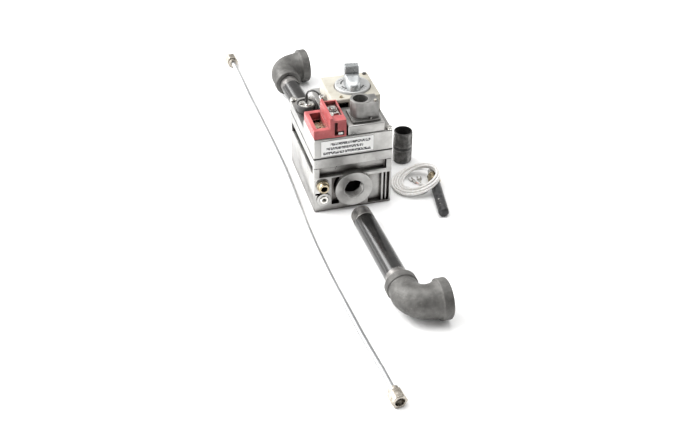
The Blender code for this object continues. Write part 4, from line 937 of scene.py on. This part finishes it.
# %% [markdown]
# ## Knob
# The knob is a dial skirt with a hand grip on it: a thick bar whose front end is round and slopes down, and
# whose back end stands up as a crest. A bar could be cut from blocks, but a rounded outline that is lofted
# upwards gives the soft shoulders of a moulding. The dial carries only plain ticks.

# %% Dial skirt
KNOB_X, KNOB_Y, KNOB_TOP, KNOB_TURN = 21.0, 18.0, 133.0, radians(-8.0)
dial_profile = [(0, KNOB_TOP - 3.0), (20.0, KNOB_TOP - 3.0), (20.0, KNOB_TOP - 11), (22.3, KNOB_TOP - 11),
                (22.6, KNOB_TOP - 10.6), (22.6, KNOB_TOP - 0.9), (22.3, KNOB_TOP - 0.4), (21.6, KNOB_TOP - 0.05),
                (21.0, KNOB_TOP), (0, KNOB_TOP)]


def dial_finish(name):
    """Pale grey, with dark ticks where the angle round the knob falls near a multiple and the radius is large."""
    made, tree, shader, place = blank_finish(name, Metallic=0.25)
    lay = node_of(tree, "ShaderNodeMapping", Location=(-KNOB_X * MM, -KNOB_Y * MM, 0.0))
    feed(tree, lay.inputs["Vector"], place)
    split = node_of(tree, "ShaderNodeSeparateXYZ")
    feed(tree, split.inputs[0], lay.outputs[0])

    def sums(operation, *values):
        return maths(tree, operation, *values)

    x, y = split.outputs["X"], split.outputs["Y"]
    radius = sums("SQRT", sums("ADD", sums("MULTIPLY", x, x), sums("MULTIPLY", y, y)))
    angle = sums("ARCTAN2", y, x)
    ticks = sums("COMPARE", sums("PINGPONG", angle, 0.11), 0.0, 0.022)
    outer = sums("COMPARE", radius, 0.0182, 0.0017)
    arc = sums("COMPARE", radius, 0.0146, 0.0011)
    sector = sums("LESS_THAN", sums("ABSOLUTE", sums("SUBTRACT", sums("ABSOLUTE", angle), 1.7)), 1.25)
    ink = sums("MULTIPLY", sums("MAXIMUM", sums("MULTIPLY", ticks, outer), arc), sector)
    wander = noise(tree, place, 140.0, 6.0)
    tone = mixed(tree, wander, (0.33, 0.335, 0.335), (0.50, 0.505, 0.50))
    feed_shader(tree, shader, Base_Color=mixed(tree, ink, tone, (0.03, 0.03, 0.03)),
          Roughness=ranged(tree, wander, 0.0, 1.0, 0.28, 0.46), Normal=relief_of(tree, wander, 0.5, 0.03))
    return made


dial = skin("knob_dial", turned(dial_profile, 96) + np.array((KNOB_X, KNOB_Y, 0.0)), dial_finish("marked_dial"),
            body="knob")
print("dial", len(dial.data.polygons), "faces")

# %% [markdown]
# ## Grip on the dial
# The grip could be cut out of a block with curves, but its outline changes steadily from foot to ridge, so outlines
# are stacked like the floors of a tower: each is the same curve with a smaller width and reach. The crest behind
# it is stacked the same way, with outlines that are nearly rectangles.

# %% Grip
def grip_outline(half_width, front, back, count=72):
    """A rounded bar seen from above: x = w cos ** m and y = d sin ** n of the angle, with small powers at the
    back, which square it off, and powers near 1 in front, which keep it round."""
    a = around(count)
    c, q = np.cos(a), np.sin(a)
    depth = np.where(q < 0, front, back)
    x = half_width * np.sign(c) * np.abs(c) ** np.where(q < 0, 0.72, 0.30)
    y = depth * np.sign(q) * np.abs(q) ** np.where(q < 0, 0.86, 0.34)
    return x, y


def grip_points():
    """Outlines stacked from the dial to the ridge: width and reach shrink a little with height, the shoulder is
    rounded, and the ridge slopes down to the round nose, where height falls with the distance in front."""
    levels = np.array([-0.6, 0.0, 1.0, 4.0, 8.0, 10.5, 11.8, 12.6, 13.0])
    widths = np.array([10.5, 10.5, 10.4, 10.2, 9.7, 9.3, 8.9, 8.2, 7.2])
    fronts = np.array([20.9, 20.9, 20.7, 20.2, 19.6, 19.0, 18.3, 17.2, 15.8])
    backs = np.array([15.1, 15.1, 15.1, 15.0, 14.8, 14.7, 14.5, 13.9, 13.0])
    rings = []
    for level, width, front, back in zip(levels, widths, fronts, backs):
        x, y = grip_outline(width, front, back)
        slope = np.clip((-y - 2.0) / 17.0, 0.0, 1.0) * 5.2 * max(level, 0.0) / 13.0
        rings.append(np.stack([x, y, KNOB_TOP + level - slope], axis=1))
    last = rings[-1]
    for shrink in (0.8, 0.55, 0.3, 0.0):
        inner = last * np.array((shrink, 1.0, 1.0))
        inner[:, 1] = last[:, 1] * shrink - (1 - shrink) * 0.5
        slope = np.clip((-inner[:, 1] - 2.0) / 17.0, 0.0, 1.0) * 5.2
        inner[:, 2] = KNOB_TOP + 13.0 - slope
        rings.append(inner)
    foot = rings[0] * np.array((0.0, 0.0, 1.0))
    return np.stack([foot] + rings)


def turned_knob(points):
    """Turns points about Z by the knob's angle at rest (x cos - y sin, x sin + y cos), then sets them on its axis."""
    c, q = cos(KNOB_TURN), sin(KNOB_TURN)
    x, y = points[..., 0] * c - points[..., 1] * q, points[..., 0] * q + points[..., 1] * c
    return np.stack([x + KNOB_X, y + KNOB_Y, points[..., 2]], axis=-1)


grip = skin("knob_grip", turned_knob(grip_points()), FINISHES["knob_grey"], body="knob", sharp=50)


def crest_points(count=64):
    """A block with rounded corners, drawn in a little towards its top, closed above and below."""
    rings = []
    for level, half_x, front, back in ((11.0, 9.6, 3.6, 14.9), (13.0, 9.6, 3.7, 14.9), (21.0, 9.15, 4.2, 14.5),
                                       (22.0, 9.0, 4.4, 14.4), (22.45, 8.6, 4.8, 14.0), (22.5, 8.2, 5.2, 13.6)):
        a = around(count)
        c, q = np.cos(a), np.sin(a)
        x = half_x * np.sign(c) * np.abs(c) ** 0.16
        y = 0.5 * (front + back) + 0.5 * (back - front) * np.sign(q) * np.abs(q) ** 0.16
        rings.append(np.stack([x, y, np.full(count, KNOB_TOP + level)], axis=1))
    centre = np.array((0.0, 9.2))
    for k, ring in ((0, rings[0]), (1, rings[-1])):
        pole = ring.copy()
        pole[:, :2] = centre
        rings = [pole] + rings if k == 0 else rings + [pole]
    return np.stack(rings)


crest = skin("knob_crest", turned_knob(crest_points()), FINISHES["knob_grey"], body="knob", sharp=40)
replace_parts(grip, "knob")
print("grip", len(grip.data.polygons), "faces; crest", len(crest.data.polygons), "faces")

# %% [markdown]
# ## Dressing the rest
# Every solid that no new surface stands for still lacks its finish. Those in sight get a refined copy with a bevel
# that suits their size. Those inside the casting are never seen, so they keep their own mesh and only change
# material. Springs are left for the next step.

# %% Dress every solid
already = {n for o in bpy.data.objects for n in o.get("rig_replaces", [])}
WIDTHS = {"valve_body": 0.45, "flange_plate": 0.3, "cover": 0.35, "regulator_plate": 0.3, "regulator_tower": 0.4,
          "knob_housing": 0.4, "terminal_block": 0.4, "rating_label": 0.0, "magnet_cap": 0.3,
          "tube_nut_front": 0.25, "tube_nut_rear": 0.25, "thermopile_nut": 0.25, "jumper_wire": 0.0}
SMALL_EDGE = 0.18
OWN_FINISH = {"tube_nut_front": "nickel", "tube_nut_rear": "nickel", "regulator_tower": "tower"}
HIDDEN = {"armature", "diaphragm_plate", "gas_cock", "inlet_screen", "knob_stem", "main_valve",
          "main_valve_facing", "power_unit", "safety_disc", "spring_seat"}
# node: the joint that squeezes it, the height of its fixed end, and how far its other end travels, in mm
SQUEEZED = {"knob_spring": ("knob_press", 108.3, 5.5), "safety_spring": ("safety_lift", 34.9, 5.5),
            "main_valve_spring": ("main_valve_lift", 100.2, 3.0),
            "regulator_spring": ("main_valve_lift", 125.6, 3.0),
            "regulator_diaphragm": ("main_valve_lift", 107.1, 3.0)}
for name in sorted(set(frame["nodes"]) - already - set(SQUEEZED)):
    coat = FINISHES[OWN_FINISH.get(name, SLOT_OF[name])]
    if name in HIDDEN:
        solid = frame["nodes"][name]
        for k in range(len(solid.data.materials)):
            solid.data.materials[k] = coat
        continue
    piece = refined(name, coat, WIDTHS.get(name, SMALL_EDGE))
print(len(frame["nodes"]) - len(already) - len(HIDDEN) - len(SQUEEZED), "solids refined")

# %% [markdown]
# ## Springs and diaphragm
# A coil spring is fixed at one end and shortens when the piece at its other end moves. It could be rebuilt for
# every position. Here each spring and the diaphragm get a welded copy with their finish and no bevel, and that
# copy gets a mesh of its own; it is not shortened.

# %% Springs copied
for name, (joint, fixed, travel) in SQUEEZED.items():
    low, high = np.array(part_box(name)) / MM
    spring = refined(name, FINISHES[SLOT_OF[name]], 0.0)
    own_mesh(spring)

# %% [markdown]
# ## What the lead is
# A lead has one true length, however it is wound. It is worked out from the lead's path and printed.

print("declared", round(length_of(lead_path)), "mm of lead")

# %% [markdown]
# ## Sizes
# The dressed kit must stay inside the box of the solid one. The solid one's box is printed here.

# %% Print the solid box
print("solid  ", [[round(c / MM, 1) for c in corner] for corner in solid_box])
